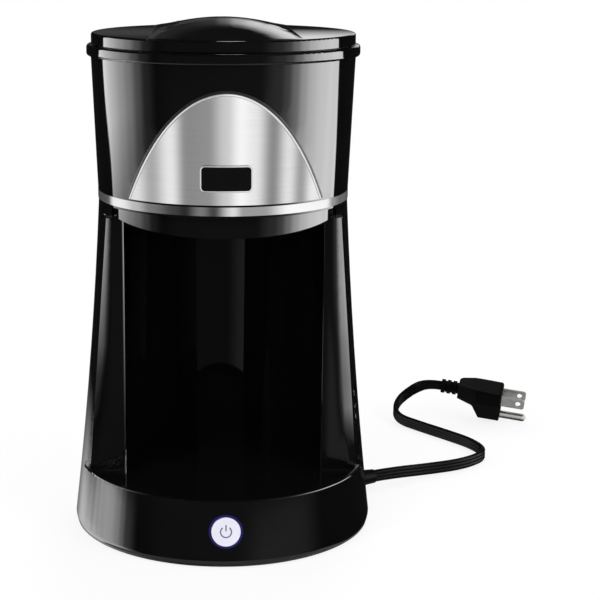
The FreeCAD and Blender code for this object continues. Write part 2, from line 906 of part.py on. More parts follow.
shower = disc(shower_r, liner_z - shower_thick, liner_z, 0, basket_y)
for index in range(shower_holes):
    turn = 2 * math.pi * index / shower_holes
    for ring_radius in (shower_ring_r, shower_ring_r / 2):
        hole_x = ring_radius * math.cos(turn)
        hole_y = basket_y + ring_radius * math.sin(turn)
        shower = shower.cut(disc(shower_hole_r, 0, far * 2, hole_x, hole_y))
save("shower_plate", shower)

# Start button, its light ring, the switch behind it and the board
skin = flare_solid(-button_proud, skirt_z, waist_z)
ring_skin = flare_solid(-ring_proud, skirt_z, waist_z)
wall_y = -flare_radius(button_z, housing_wall)
ring_back = wall_y + ring_flange + ring_step
light_ring = rod_y(ring_r, -far, ring_back, 0, button_z).common(ring_skin)
ring_lip = rod_y(ring_r + ring_flange_reach, ring_back - ring_flange, ring_back, 0, button_z)
light_ring = light_ring.fuse(ring_lip)
light_ring = light_ring.cut(rod_y(button_r + button_gap, -far, far, 0, button_z))
save("light_ring", light_ring.removeSplitter())

collar_y = ring_back + button_gap
switch_y = board_y - switch_depth
plunger_y = switch_y - plunger_length / 2
button = rod_y(button_r, -far, collar_y, 0, button_z).common(skin)
button = button.fuse(rod_y(button_collar_r, collar_y, collar_y + button_collar, 0, button_z))
button = button.fuse(rod_y(stem_r, collar_y, plunger_y, 0, button_z))
save("start_button", button.removeSplitter())

plunger = rod_y(plunger_r, plunger_y, plunger_y + plunger_length, 0, button_z)
save("switch_plunger", plunger)
switch_half = switch_size / 2
switch = block(-switch_half, switch_half, switch_y, board_y, button_z - switch_half, button_z + switch_half)
switch_bore = plunger_y + plunger_length + button_travel + plunger_gap
switch = switch.cut(rod_y(plunger_r + plunger_gap, -far, switch_bore, 0, button_z))
save("tact_switch", switch)
board = block(-board_width / 2, board_width / 2, board_y, board_y + board_thick, board_foot_z, board_top)
save("control_board", board)

# Heater: a U of cast aluminium in the base whose water tube turns up into the hoses
outer_r = pipe_x + heater_width / 2
inner_r = pipe_x - heater_width / 2
bend = disc(outer_r, heater_low, heater_top, 0, heater_front_y)
bend = bend.cut(disc(inner_r, 0, far, 0, heater_front_y))
bend = bend.common(block(-far, far, -far, heater_front_y, 0, far))
legs = []
sin_45 = math.sin(math.pi / 4)
for side in (-1, 1):
    middle = side * pipe_x
    left = middle - heater_width / 2
    legs.append(block(left, left + heater_width, heater_front_y, heater_rear_y, heater_low, heater_top))
    turn_y = pipe_y - heater_tube_bend
    turn_z = heater_z + heater_tube_bend
    corner = Part.Arc(
        Vector(middle, turn_y, heater_z),
        Vector(middle, turn_y + heater_tube_bend * sin_45, turn_z - heater_tube_bend * sin_45),
        Vector(middle, pipe_y, turn_z),
    ).toShape()
    path = Part.Wire(
        [
            line(Vector(middle, heater_rear_y - spigot_r, heater_z), Vector(middle, turn_y, heater_z)),
            corner,
            line(Vector(middle, pipe_y, turn_z), Vector(middle, pipe_y, heater_tube_top)),
        ]
    )
    start = Part.Wire(Part.Circle(path.Vertexes[0].Point, Vector(0, 1, 0), spigot_r).toShape())
    legs.append(path.makePipeShell([start], True, False))
heater = bend.multiFuse(legs)
save("heater", heater.removeSplitter())

strap_reach = pipe_x + heater_width / 2 + 2 * strap_post_r
strap_top = heater_top + strap_thick
strap_y = heater_rear_y / 2
strap_half = strap_width / 2
strap = block(-strap_reach, strap_reach, strap_y - strap_half, strap_y + strap_half, heater_top, strap_top)
save("heater_strap", strap)
save("thermostat", disc(thermostat_r, heater_top, heater_top + thermostat_height, 0, heater_front_y - pipe_x))
fuse_half = fuse_length / 2
fuse_body = rod_y(fuse_r, strap_y - fuse_half, strap_y + fuse_half, -pipe_x, strap_top + fuse_r)
save("thermal_fuse", fuse_body)

# Hoses and check valve: tank to valve, valve to heater, and heater up to the standpipe
valve_top_z = valve_bottom_z + valve_length
hose_top = spigot_z + hose_overlap
hose_bottom = heater_tube_top - hose_overlap
inlet_top = valve_bottom_z + hose_overlap
feed_bottom = valve_top_z - hose_overlap


def hose(x, low, high):
    return disc(hose_r, low, high, x, pipe_y).cut(disc(spigot_r + hose_fit, 0, far * 2, x, pipe_y))


save("riser_hose", hose(pipe_x, hose_bottom, hose_top))
save("inlet_hose", hose(-pipe_x, hose_bottom, inlet_top))
save("feed_hose", hose(-pipe_x, feed_bottom, hose_top))

valve = disc(spigot_r, valve_bottom_z, valve_top_z, -pipe_x, pipe_y)
valve = valve.fuse(disc(valve_r, inlet_top, feed_bottom, -pipe_x, pipe_y))
valve = valve.cut(disc(pipe_bore_r, 0, far * 2, -pipe_x, pipe_y))
save("check_valve", valve.removeSplitter())

clamps = []
for x, low in (
    (pipe_x, hose_bottom),
    (pipe_x, hose_top - clamp_height),
    (-pipe_x, hose_bottom),
    (-pipe_x, inlet_top - clamp_height),
    (-pipe_x, feed_bottom),
    (-pipe_x, hose_top - clamp_height),
):
    clamp = disc(hose_r + clamp_wall, low, low + clamp_height, x, pipe_y)
    clamps.append(clamp.cut(disc(hose_r + hose_fit, 0, far * 2, x, pipe_y)))
save("hose_clamps", Part.makeCompound(clamps))

# Strain relief: a tapered boot that grips the edge of the housing low at the rear right
gland_wall = flare_radius(gland_z)
gland_tip = gland_wall + gland_length
boot_foot = Vector(gland_wall + gland_fit, 0, gland_z)
boot = Part.makeCone(gland_root_r, gland_tip_r, gland_length - gland_fit, boot_foot, Vector(1, 0, 0))
neck = rod_x(gland_neck_r, gland_wall - housing_wall - gland_flange, gland_wall + gland_fit, 0, gland_z)
inner_face = flare_radius(gland_z + gland_root_r, housing_wall) - gland_fit
inside = rod_x(gland_root_r, inner_face - gland_flange, inner_face, 0, gland_z)
save("strain_relief", gland_frame(fuse([boot, neck, inside])))

# Power cord: straight runs joined by arcs as large as the runs allow
gland_way = Vector(math.cos(math.radians(gland_angle)), math.sin(math.radians(gland_angle)), 0)
gland_mouth = gland_way * gland_tip + Vector(0, 0, gland_z)


def plug_place(shape):
    shape.rotate(origin, Vector(1, 0, 0), plug_roll)
    shape.rotate(origin, Vector(0, 1, 0), plug_tilt)
    shape.rotate(origin, axis_z, plug_heading)
    shape.translate(plug_tail)
    return shape


plug_turn = FreeCAD.Rotation(axis_z, plug_heading) * FreeCAD.Rotation(Vector(0, 1, 0), plug_tilt)
plug_way = plug_turn.multVec(Vector(1, 0, 0))
route = [gland_mouth, gland_mouth + gland_way * cord_lead]
route += cord_points
route += [plug_tail - plug_way * plug_tail_lead, plug_tail]


def cord_path(points):
    edges = []
    radii = []
    start = points[0]
    for before, corner, after in zip(points, points[1:], points[2:]):
        back = before - corner
        ahead = after - corner
        shorter = min(back.Length, ahead.Length)
        half_turn = (math.pi - back.getAngle(ahead)) / 2
        trim = 0.45 * shorter
        radius = trim / math.tan(half_turn)
        back.normalize()
        ahead.normalize()
        inward = back + ahead
        inward.normalize()
        middle = corner + inward * (radius / math.cos(half_turn) - radius)
        first = corner + back * trim
        last = corner + ahead * trim
        edges.append(line(start, first))
        edges.append(Part.Arc(first, middle, last).toShape())
        radii.append(round(radius, 1))
        start = last
    edges.append(line(start, points[-1]))
    return Part.Wire(edges), radii


path, radii = cord_path(route)
section = Part.Wire(Part.Circle(gland_mouth, gland_way, cord_d / 2).toShape())
cord = path.makePipeShell([section], True, False)
save("power_cord", cord)
print("cord radii", radii)
section_area = math.pi * cord_d**2 / 4
print("cord length", round(path.Length, 1), "section times length", round(path.Length * section_area, 1))

# Plug: ridged relief, stepped body, two flat blades and a round ground pin
relief = [rod_x(relief_core_r, 0, relief_length, 0, 0)]
pitch = relief_length / relief_ridges
for index in range(relief_ridges):
    relief.append(rod_x(relief_core_r + relief_ridge, index * pitch, (index + 0.6) * pitch, 0, 0))
plug_face = relief_length + plug_length


def is_plug_edge(edge, across):
    return edge.BoundBox.XMin > relief_length + plug_round and across > plug_width


side_view = outline(
    [
        Vector(relief_length, -plug_width, -relief_core_r - relief_ridge),
        Vector(relief_length, -plug_width, plug_top),
        Vector(relief_length + plug_length * 0.06, -plug_width, plug_top + relief_ridge),
        Vector(relief_length + plug_length * 0.35, -plug_width, plug_top + relief_ridge),
        Vector(plug_face, -plug_width, plug_top),
        Vector(plug_face, -plug_width, -plug_heel),
        Vector(relief_length + plug_length * 0.53, -plug_width, -plug_heel),
        Vector(relief_length + plug_length * 0.36, -plug_width, -relief_core_r - 3 * relief_ridge),
    ]
)
side = Part.Face(side_view).extrude(Vector(0, 2 * plug_width, 0))
side = side.makeFillet(plug_round, edges_where(side, lambda e: is_plug_edge(e, e.BoundBox.YLength)))
plan_view = outline(
    [
        Vector(relief_length, -plug_waist / 2, -far),
        Vector(relief_length + plug_length * 0.45, -plug_width / 2, -far),
        Vector(plug_face, -plug_width / 2, -far),
        Vector(plug_face, plug_width / 2, -far),
        Vector(relief_length + plug_length * 0.45, plug_width / 2, -far),
        Vector(relief_length, plug_waist / 2, -far),
    ]
)
plan = Part.Face(plan_view).extrude(Vector(0, 0, 2 * far))
plan = plan.makeFillet(plug_round, edges_where(plan, lambda e: is_plug_edge(e, e.BoundBox.ZLength)))
end_view = outline(
    [
        Vector(0, -plug_width / 2, plug_top + relief_ridge),
        Vector(0, plug_width / 2, plug_top + relief_ridge),
        Vector(0, plug_width / 2, -relief_core_r),
        Vector(0, plug_heel_width / 2, -plug_heel),
        Vector(0, -plug_heel_width / 2, -plug_heel),
        Vector(0, -plug_width / 2, -relief_core_r),
    ]
)
end = Part.Face(end_view).extrude(Vector(far, 0, 0))
end = end.makeFillet(plug_round, [e for e in end.Edges if e.BoundBox.XLength > far / 2])
plug = side.common(plan).common(end).removeSplitter()
plug = plug.multiFuse(relief)
save("plug_body", plug_place(plug.removeSplitter()))

blades = []
for side_sign in (-1, 1):
    y = side_sign * blade_spacing / 2
    blade = block(
        plug_face,
        plug_face + blade_length,
        y - blade_thick / 2,
        y + blade_thick / 2,
        -blade_drop - blade_height / 2,
        -blade_drop + blade_height / 2,
    )
    outer = edges_where(blade, lambda e: e.BoundBox.XMin > plug_face + blade_length / 2)
    tips = [e for e in outer if e.BoundBox.YLength > blade_thick / 2]
    blade = blade.makeFillet(blade_height / 4, tips)
    hole_x = plug_face + blade_length - blade_height / 2 - blade_hole_r / 2
    blades.append(blade.cut(rod_y(blade_hole_r, -far, far, hole_x, -blade_drop)))
save("plug_blades", plug_place(Part.makeCompound(blades)))
ground = rod_x(pin_r, plug_face, plug_face + pin_length - pin_r, 0, -blade_drop - pin_drop)
tip = Part.makeSphere(pin_r, Vector(plug_face + pin_length - pin_r, 0, -blade_drop - pin_drop))
save("ground_pin", plug_place(ground.fuse(tip).removeSplitter()))
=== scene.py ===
import bpy
import bmesh
import json
import math
from mathutils import Matrix, Vector
from mathutils.bvhtree import BVHTree

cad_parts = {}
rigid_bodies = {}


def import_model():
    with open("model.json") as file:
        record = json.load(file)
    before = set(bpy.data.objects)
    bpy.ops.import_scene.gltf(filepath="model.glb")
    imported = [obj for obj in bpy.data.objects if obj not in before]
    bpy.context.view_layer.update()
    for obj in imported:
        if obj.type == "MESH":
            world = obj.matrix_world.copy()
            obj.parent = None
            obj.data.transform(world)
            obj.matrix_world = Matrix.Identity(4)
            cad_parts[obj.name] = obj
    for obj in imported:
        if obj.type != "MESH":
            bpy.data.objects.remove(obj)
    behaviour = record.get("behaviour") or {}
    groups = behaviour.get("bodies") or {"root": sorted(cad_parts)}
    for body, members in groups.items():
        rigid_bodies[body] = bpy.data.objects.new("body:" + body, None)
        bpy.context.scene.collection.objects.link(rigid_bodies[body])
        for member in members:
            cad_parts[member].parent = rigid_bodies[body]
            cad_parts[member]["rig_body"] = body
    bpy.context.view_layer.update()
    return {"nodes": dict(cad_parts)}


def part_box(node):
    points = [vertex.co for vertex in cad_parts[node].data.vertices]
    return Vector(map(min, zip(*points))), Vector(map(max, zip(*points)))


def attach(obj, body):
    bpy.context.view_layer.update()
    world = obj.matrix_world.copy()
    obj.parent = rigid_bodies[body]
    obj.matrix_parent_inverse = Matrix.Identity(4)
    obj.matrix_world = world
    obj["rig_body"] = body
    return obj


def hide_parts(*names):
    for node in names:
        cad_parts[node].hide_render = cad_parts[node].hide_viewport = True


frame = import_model()
scene = bpy.context.scene
scene.view_settings.view_transform = "Standard"
print("frame loaded,", len(frame["nodes"]), "nodes")

# the photograph's camera: a long lens aimed at the machine's axis, the picture reaching further right
view = {
    "place": (-0.01966, -0.82233, 0.31084),
    "yaw": -0.02468,
    "pitch": 0.23018,
    "roll": 0.00239,
    "lens": 96.59,
    "sensor": 36,
    "shift": 0.12667,
}


def placeCamera(values):
    forward = Vector((
        -math.sin(values["yaw"]) * math.cos(values["pitch"]),
        math.cos(values["yaw"]) * math.cos(values["pitch"]),
        -math.sin(values["pitch"]),
    ))
    flat = Vector((math.cos(values["yaw"]), math.sin(values["yaw"]), 0))
    upright = flat.cross(forward)
    right = flat * math.cos(values["roll"]) + upright * math.sin(values["roll"])
    up = upright * math.cos(values["roll"]) - flat * math.sin(values["roll"])
    data = bpy.data.cameras.new("camera")
    data.lens = values["lens"]
    data.sensor_width = values["sensor"]
    data.shift_x = values["shift"]
    camera = bpy.data.objects.new("camera", data)
    turn = Matrix((right, up, -forward)).transposed().to_4x4()
    camera.matrix_world = Matrix.Translation(values["place"]) @ turn
    scene.collection.objects.link(camera)
    scene.camera = camera


placeCamera(view)
print("camera placed")


# materials: noise varies the colour, the roughness and a fine bump of each
noiseSpan = (0.3, 0.7)  # the part of the noise's range that is used
grain = {"cloudScale": 28.0, "cloudDetail": 4.0, "fineDetail": 2.0, "bump": 0.3}
strokes = {"detail": 4.0, "roughness": 0.7, "cloudScale": 22.0, "bumpDepth": 0.00002}


def newMaterial(name):
    material = bpy.data.materials.new(name)
    material.use_nodes = True
    nodes = material.node_tree.nodes
    return material, nodes, material.node_tree.links, nodes["Principled BSDF"]


def addNode(nodes, kind, **values):
    node = nodes.new(kind)
    for key, value in values.items():
        if key in node.inputs:
            node.inputs[key].default_value = value
        else:
            setattr(node, key, value)
    return node


def objectSpace(nodes, links, scale=(1, 1, 1)):
    place = addNode(nodes, "ShaderNodeTexCoord")
    mapping = addNode(nodes, "ShaderNodeMapping", Scale=scale)
    links.new(place.outputs["Object"], mapping.inputs["Vector"])
    return mapping.outputs["Vector"]


def noise(nodes, links, where, scale, detail=3.0, roughness=0.5):
    texture = addNode(nodes, "ShaderNodeTexNoise", Scale=scale, Detail=detail, Roughness=roughness)
    links.new(where, texture.inputs["Vector"])
    return texture.outputs["Fac"]


def spread(nodes, links, value, low, high):
    reach = addNode(nodes, "ShaderNodeMapRange")
    for index, number in enumerate((*noiseSpan, low, high)):
        reach.inputs[index + 1].default_value = number
    links.new(value, reach.inputs[0])
    return reach.outputs[0]


def tint(nodes, links, value, dark, light):
    ramp = addNode(nodes, "ShaderNodeValToRGB")
    for element, position, colour in zip(ramp.color_ramp.elements, noiseSpan, (dark, light)):
        element.position = position
        element.color = (*colour, 1)
    links.new(value, ramp.inputs["Fac"])
    return ramp.outputs["Color"]


def moulded(name, dark, light, rough, fineScale, depth, gloss=0.5):
    material, nodes, links, shader = newMaterial(name)
    where = objectSpace(nodes, links)
    broad = noise(nodes, links, where, grain["cloudScale"], grain["cloudDetail"])
    fine = noise(nodes, links, where, fineScale, grain["fineDetail"])
    links.new(tint(nodes, links, broad, dark, light), shader.inputs["Base Color"])
    links.new(spread(nodes, links, broad, *rough), shader.inputs["Roughness"])
    bump = addNode(nodes, "ShaderNodeBump", Strength=grain["bump"], Distance=depth)
    links.new(fine, bump.inputs["Height"])
    links.new(bump.outputs["Normal"], shader.inputs["Normal"])
    shader.inputs["Specular IOR Level"].default_value = gloss
    return material


def brushed(name, dark, light, rough, lines, bite=0.12):
    material, nodes, links, shader = newMaterial(name)
    where = objectSpace(nodes, links, lines)
    lined = noise(nodes, links, where, 1.0, strokes["detail"], strokes["roughness"])
    clouds = noise(nodes, links, objectSpace(nodes, links), strokes["cloudScale"])
    links.new(tint(nodes, links, lined, dark, light), shader.inputs["Base Color"])
    links.new(spread(nodes, links, clouds, *rough), shader.inputs["Roughness"])
    bump = addNode(nodes, "ShaderNodeBump", Strength=bite, Distance=strokes["bumpDepth"])
    links.new(lined, bump.inputs["Height"])
    links.new(bump.outputs["Normal"], shader.inputs["Normal"])
    shader.inputs["Metallic"].default_value = 1.0
    return material


# plastics: darker and lighter colour, roughness from and to, scale and depth of the grain, gloss
pianoBlack = moulded(
    "pianoBlack", (0.002, 0.002, 0.0022), (0.003, 0.003, 0.0033), (0.02, 0.05), 420.0, 0.000004,
)
grainBlack = moulded("grainBlack", (0.01, 0.01, 0.011), (0.017, 0.017, 0.018), (0.42, 0.55), 2600.0, 0.00006)
tankGrey = moulded("tankGrey", (0.055, 0.056, 0.06), (0.075, 0.076, 0.08), (0.25, 0.35), 1800.0, 0.00002)
badgeGloss = moulded(
    "badgeGloss", (0.002, 0.002, 0.0025), (0.004, 0.004, 0.0045), (0.1, 0.18), 700.0, 0.00001,
)
capWhite = moulded("capWhite", (0.72, 0.71, 0.82), (0.8, 0.79, 0.9), (0.28, 0.36), 1500.0, 0.00001)
ringViolet = moulded("ringViolet", (0.01, 0.009, 0.08), (0.017, 0.014, 0.12), (0.12, 0.2), 900.0, 0.00001)
cordRubber = moulded(
    "cordRubber", (0.002, 0.002, 0.0022), (0.0035, 0.0035, 0.0038), (0.36, 0.46), 1600.0, 0.00004, 0.05,
)
plugRubber = moulded(
    "plugRubber", (0.002, 0.002, 0.0022), (0.0035, 0.0035, 0.0038), (0.38, 0.5), 2200.0, 0.00006, 0.05,
)
silicone = moulded("silicone", (0.55, 0.55, 0.53), (0.68, 0.68, 0.66), (0.35, 0.45), 900.0, 0.00003)
boardGreen = moulded("boardGreen", (0.02, 0.1, 0.045), (0.03, 0.14, 0.06), (0.3, 0.4), 1200.0, 0.00002)
valveWhite = moulded("valveWhite", (0.6, 0.6, 0.58), (0.7, 0.7, 0.68), (0.35, 0.45), 900.0, 0.00002)
bakelite = moulded("bakelite", (0.06, 0.03, 0.015), (0.09, 0.05, 0.025), (0.4, 0.5), 900.0, 0.00003)
signInk = moulded("signInk", (0.09, 0.09, 0.16), (0.12, 0.12, 0.2), (0.4, 0.5), 900.0, 0.00001)
# metals: darker and lighter colour, roughness from and to, strokes per metre along x, y and z, bite
trimSteel = brushed("trimSteel", (0.6, 0.6, 0.6), (0.68, 0.68, 0.68), (0.1, 0.15), (30, 30, 5200))
# the steel of the rolled edges is a lighter, rougher copy of the trim steel: a painted highlight along those
# edges
edgeSteel = brushed("edgeSteel", (0.82, 0.82, 0.82), (0.9, 0.9, 0.9), (0.3, 0.4), (400, 400, 400), 0.03)
plainSteel = brushed("plainSteel", (0.5, 0.5, 0.51), (0.6, 0.6, 0.61), (0.25, 0.4), (900, 900, 900))
castMetal = brushed("castMetal", (0.42, 0.42, 0.43), (0.52, 0.52, 0.53), (0.5, 0.65), (500, 500, 500))
bladeNickel = brushed("bladeNickel", (0.58, 0.57, 0.55), (0.68, 0.67, 0.65), (0.2, 0.32), (700, 700, 700))
print("materials made")


def finishMesh(name, mesh, material, body, node=None):
    mesh.materials.clear()
    mesh.materials.append(material)
    piece = bpy.data.objects.new(name, mesh)
    scene.collection.objects.link(piece)
    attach(piece, body)
    if node:
        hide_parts(node)
    return piece


def meshFrom(name, work):
    mesh = bpy.data.meshes.new(name)
    work.to_mesh(mesh)
    work.free()
    return mesh


def smooth(mesh, crease):
    mesh.shade_smooth()
    mesh.set_sharp_from_angle(angle=math.radians(crease))


# what an object's modifiers or curve make, as a mesh of its own
def evaluated(holder):
    return bpy.data.meshes.new_from_object(holder.evaluated_get(bpy.context.evaluated_depsgraph_get()))


def cornerNormals(mesh):
    count = len(mesh.loops)
    flat = [0.0] * (3 * count)
    mesh.corner_normals.foreach_get("vector", flat)
    return [Vector(flat[3 * index:3 * index + 3]) for index in range(count)]


# a table's value, straight from stop to stop
def linear(stops, value):
    for (start, low), (stop, high) in zip(stops, stops[1:]):
        if start <= value <= stop:
            return low + (high - low) * (value - start) / (stop - start)
    return 0.0


# a table's value, easing from stop to stop
def eased(stops, value):
    for (start, low), (stop, high) in zip(stops, stops[1:]):
        if start <= value <= stop:
            share = (1 - math.cos(math.pi * (value - start) / (stop - start))) / 2
            return low + (high - low) * share
    return 0.0


# one normal for every corner of a turned ring, so that the gloss runs round it evenly
ringShade = {
    "leastReach": 0.02,  # from the axis
    "sideways": 0.12,  # the most that a turned face points off its radius
    "outward": 0.7,  # the least that a plain piece's skin points out
    "fewest": 12,  # corners in a ring
    "digits": 5,  # to which heights and radii agree
    "slopeSteps": 3,  # per radian
}


def evenRings(mesh, plain, values):
    normals = cornerNormals(mesh)
    rings, turned = {}, []
    skin = Vector((0, 0))
    for face in mesh.polygons:
        for corner in face.loop_indices:
            place = mesh.vertices[mesh.loops[corner].vertex_index].co
            reach = math.hypot(place.x, place.y)
            if reach < values["leastReach"]:
                continue
            out = Vector((place.x / reach, place.y / reach, 0))
            if abs(face.normal.dot(Vector((-out.y, out.x, 0)))) > values["sideways"]:
                continue
            lean = Vector((normals[corner].dot(out), normals[corner].z))
            slope = round(values["slopeSteps"] * math.atan2(lean.y, lean.x))
            key = (round(place.z, values["digits"]), round(reach, values["digits"]), slope)
            if plain and face.normal.dot(out) > values["outward"]:
                key = "skin"
                skin += Vector((face.normal.dot(out), face.normal.z)) * face.area
            rings.setdefault(key, []).append(lean)
            turned.append((corner, out, key))
    for corner, out, key in turned:
        if key == "skin" or len(rings[key]) >= values["fewest"]:
            lean = (skin if key == "skin" else sum(rings[key], Vector((0, 0)))).normalized()
            normals[corner] = Vector((out.x * lean.x, out.y * lean.x, lean.y))
    mesh.normals_split_custom_set(normals)


# even normals across the pillars' rounded fronts, so that their highlights run straight
pillarFront = {
    "faceY": -0.024,
    "radius": 0.0085,
    "inner": 0.0519,
    "low": 0.036,
    "high": 0.1675,
    "cutLow": 0.03,
    "cutHigh": 0.172,
    "flare": {"footZ": 0.0047, "footRadius": 0.0785, "topZ": 0.173, "topRadius": 0.064, "bow": 0.006},
    "edgeFoot": (0.0692, 0.036),  # across and up, where the front turns sharply to the side
    "edgeTop": (0.0593, 0.1675),
    # degrees turned outwards, by the share of the way from the bay's edge to the flare
    "left": [(0, 0), (0.4, 20), (0.5, 33), (0.6, 39), (0.7, 49), (0.9, 57)],
    "right": [(0, 0), (0.4, 18), (0.49, 26), (0.57, 31), (0.65, 33), (0.9, 36)],
    "beyondEdge": [(0.6, 66), (1, 74.8)],
    # share of that turn which is kept, and the upward lean added to it, by height
    "leftCalm": [(0, 0.4), (0.036, 0.4), (0.1, 1), (1, 1)],
    "rightCalm": [(0, 1), (1, 1)],
    "leftLift": [(0, 0), (1, 0)],
    "rightLift": [
        (0, 0.075), (0.055, 0.085), (0.066, 0.093), (0.08, 0.062), (0.1, 0.03), (0.13, 0), (1, 0),
    ],
    # the small round between the left front and the bay: degrees shown for degrees turned, lean by height
    "lipRadius": 0.0014,
    "lipSide": 0.05,
    "lipRise": 0.2,
    "lipTurns": [(0, 0), (15, 27), (30, 34), (45, 39), (60, 46), (75, 66), (90, 90)],
    "lipLift": [(0, 0.125), (0.04, 0.125), (0.165, 0), (1, 0)],
    # how near a point or a face has to be to count
    "slack": 1e-5,
    "cutSlack": 1e-4,
    "meetSlack": 2e-4,
    "acrossSlack": 0.02,
    "facing": 0.9,
    "weld": 1e-7,
}


def byPillar(place, side, values):
    middle = values["faceY"] + values["radius"]
    inDepth = values["faceY"] - values["cutSlack"] < place.y < middle
    return inDepth and side * place.x > values["inner"] and values["cutLow"] < place.z < values["cutHigh"]


# a clean line of points down each pillar, where its front turns sharply to its side
def cutPillarEdge(work, values):
    (footX, footZ), (topX, topZ) = values["edgeFoot"], values["edgeTop"]
    for side in (-1, 1):
        near = [face for face in work.faces if byPillar(face.calc_center_median(), side, values)]
        parts = {part for face in near for part in (face, *face.edges, *face.verts)}
        across = Vector((side * (topX - footX), 0, topZ - footZ)).cross(Vector((0, 1, 0)))
        start = (side * footX, 0, footZ)
        bmesh.ops.bisect_plane(work, geom=list(parts), dist=values["weld"], plane_co=start, plane_no=across)


# how far across the front a place is, how deep the front meets the flare there, and the flare's lean
def flareAt(place, values):
    flare = values["flare"]
    tall, narrowing = flare["topZ"] - flare["footZ"], flare["footRadius"] - flare["topRadius"]
    share = (place.z - flare["footZ"]) / tall
    radius = flare["footRadius"] - narrowing * share - flare["bow"] * share * (1 - share)
    meetY = (values["faceY"] + values["radius"]) * radius / (radius - values["radius"])
    meetX = math.sqrt(radius * radius - meetY * meetY)
    across = (abs(place.x) - values["inner"]) / (meetX - values["inner"])
    return across, meetY, (narrowing + flare["bow"] * (1 - 2 * share)) / tall


def onFront(face, place, values):
    across, meetY, _ = flareAt(place, values)
    inDepth = values["faceY"] - values["slack"] < place.y < meetY + values["meetSlack"]
    inWidth = -values["acrossSlack"] < across < 1 + values["acrossSlack"]
    if not (inDepth and inWidth and values["low"] < place.z < values["high"]):
        return False
    front = min(1.0, (values["faceY"] + values["radius"] - place.y) / values["radius"])
    side = math.copysign(math.sqrt(1 - front * front), place.x)
    return Vector((side, -front, 0)).dot(face.normal) >= values["facing"]


def frontNormal(face, place, values):
    across, _, lean = flareAt(place, values)
    (footX, footZ), (topX, topZ) = values["edgeFoot"], values["edgeTop"]
    hand = "left" if place.x < 0 else "right"
    turns = values[hand]
    calm = linear(values[hand + "Calm"], place.z)
    lift = linear(values[hand + "Lift"], place.z)
    if abs(face.center.x) > footX + (topX - footX) * (face.center.z - footZ) / (topZ - footZ):
        turns, calm, lift = values["beyondEdge"], 1, 0
    turn = calm * math.radians(linear(turns, min(turns[-1][0], max(turns[0][0], across))))
    tilt = (lean + lift) * math.sin(turn)
    return Vector((math.copysign(math.sin(turn), place.x), -math.cos(turn), tilt)).normalized()


def onLip(face, place, values):
    inward, back = values["inner"] - abs(place.x), place.y - values["faceY"]
    sideways = abs(face.normal.x) > values["lipSide"] and face.normal.y < -values["lipSide"]
    least, most = -values["slack"], values["lipRadius"] + values["slack"]
    inRound = least < inward < most and least < back < most
    return place.x < 0 and sideways and abs(face.normal.z) < values["lipRise"] and inRound


def lipNormal(normal, place, values):
    turned = math.degrees(math.atan2(normal.x, -normal.y))
    turn = math.radians(linear(values["lipTurns"], min(90, max(0, turned))))
    return Vector((math.sin(turn), -math.cos(turn), linear(values["lipLift"], place.z))).normalized()


def evenPillars(mesh, values):
    normals = cornerNormals(mesh)
    for face in mesh.polygons:
        for corner in face.loop_indices:
            place = mesh.vertices[mesh.loops[corner].vertex_index].co
            if onLip(face, place, values):
                normals[corner] = lipNormal(normals[corner], place, values)
            elif onFront(face, place, values):
                normals[corner] = frontNormal(face, place, values)
    mesh.normals_split_custom_set(normals)


# a CAD node's own shape, its triangles joined and its curved faces shaded smooth
polishing = {"weld": 1e-6, "crease": 30, "weight": 60}


def polish(node, name, material, plain, values):
    source = frame["nodes"][node]
    mesh = source.data.copy()
    work = bmesh.new()
    work.from_mesh(mesh)
    bmesh.ops.remove_doubles(work, verts=work.verts, dist=values["weld"])
    if node == "lower_housing":
        cutPillarEdge(work, pillarFront)
    work.to_mesh(mesh)
    work.free()
    for shading in ("custom_normal", "sharp_face", "sharp_edge"):
        if shading in mesh.attributes:
            mesh.attributes.remove(mesh.attributes[shading])
    smooth(mesh, values["crease"])
    helper = bpy.data.objects.new(name + "Helper", mesh)
    scene.collection.objects.link(helper)
    even = helper.modifiers.new("even", "WEIGHTED_NORMAL")
    even.keep_sharp = True
    even.weight = values["weight"]
    shaded = evaluated(helper)
    bpy.data.objects.remove(helper)
    evenRings(shaded, plain, ringShade)
    if node == "lower_housing":
        evenPillars(shaded, pillarFront)
    return finishMesh(name, shaded, material, source["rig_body"], node)


finishes = {
    "lower_housing": ("lowerHousing", pianoBlack),
    "head_shell": ("headShell", pianoBlack),
    "visor": ("visor", pianoBlack),
    "lid_cover": ("lidCover", pianoBlack),
    "base_pan": ("basePan", grainBlack),
    "rubber_feet": ("rubberFeet", plugRubber),
    "waist_band": ("waistBand", trimSteel),
    "arch_plate": ("archPlate", trimSteel),
    "badge_plate": ("badgePlate", badgeGloss),
    "water_tank": ("waterTank", tankGrey),
    "standpipe_seal": ("standpipeSeal", silicone),
    "brew_basket": ("brewBasket", grainBlack),
    "filter_frame": ("filterFrame", grainBlack),
    "hinge_pin": ("hingePin", plainSteel),
    "lid_liner": ("lidLiner", grainBlack),
    "shower_plate": ("showerPlate", grainBlack),
    "light_ring": ("lightRing", ringViolet),
    "start_button": ("startButton", capWhite),
    "switch_plunger": ("switchPlunger", capWhite),
    "tact_switch": ("tactSwitch", grainBlack),
    "control_board": ("controlBoard", boardGreen),
    "heater": ("heater", castMetal),
    "heater_strap": ("heaterStrap", plainSteel),
    "thermostat": ("thermostat", bakelite),
    "thermal_fuse": ("thermalFuse", castMetal),
    "riser_hose": ("riserHose", silicone),
    "inlet_hose": ("inletHose", silicone),
    "feed_hose": ("feedHose", silicone),
    "check_valve": ("checkValve", valveWhite),
    "hose_clamps": ("hoseClamps", plainSteel),
    "strain_relief": ("strainRelief", cordRubber),
    "plug_body": ("plugBody", plugRubber),
    "plug_blades": ("plugBlades", bladeNickel),
    "ground_pin": ("groundPin", bladeNickel),
}
onePlainFace = ("arch_plate", "waist_band", "badge_plate")
dressed = {}
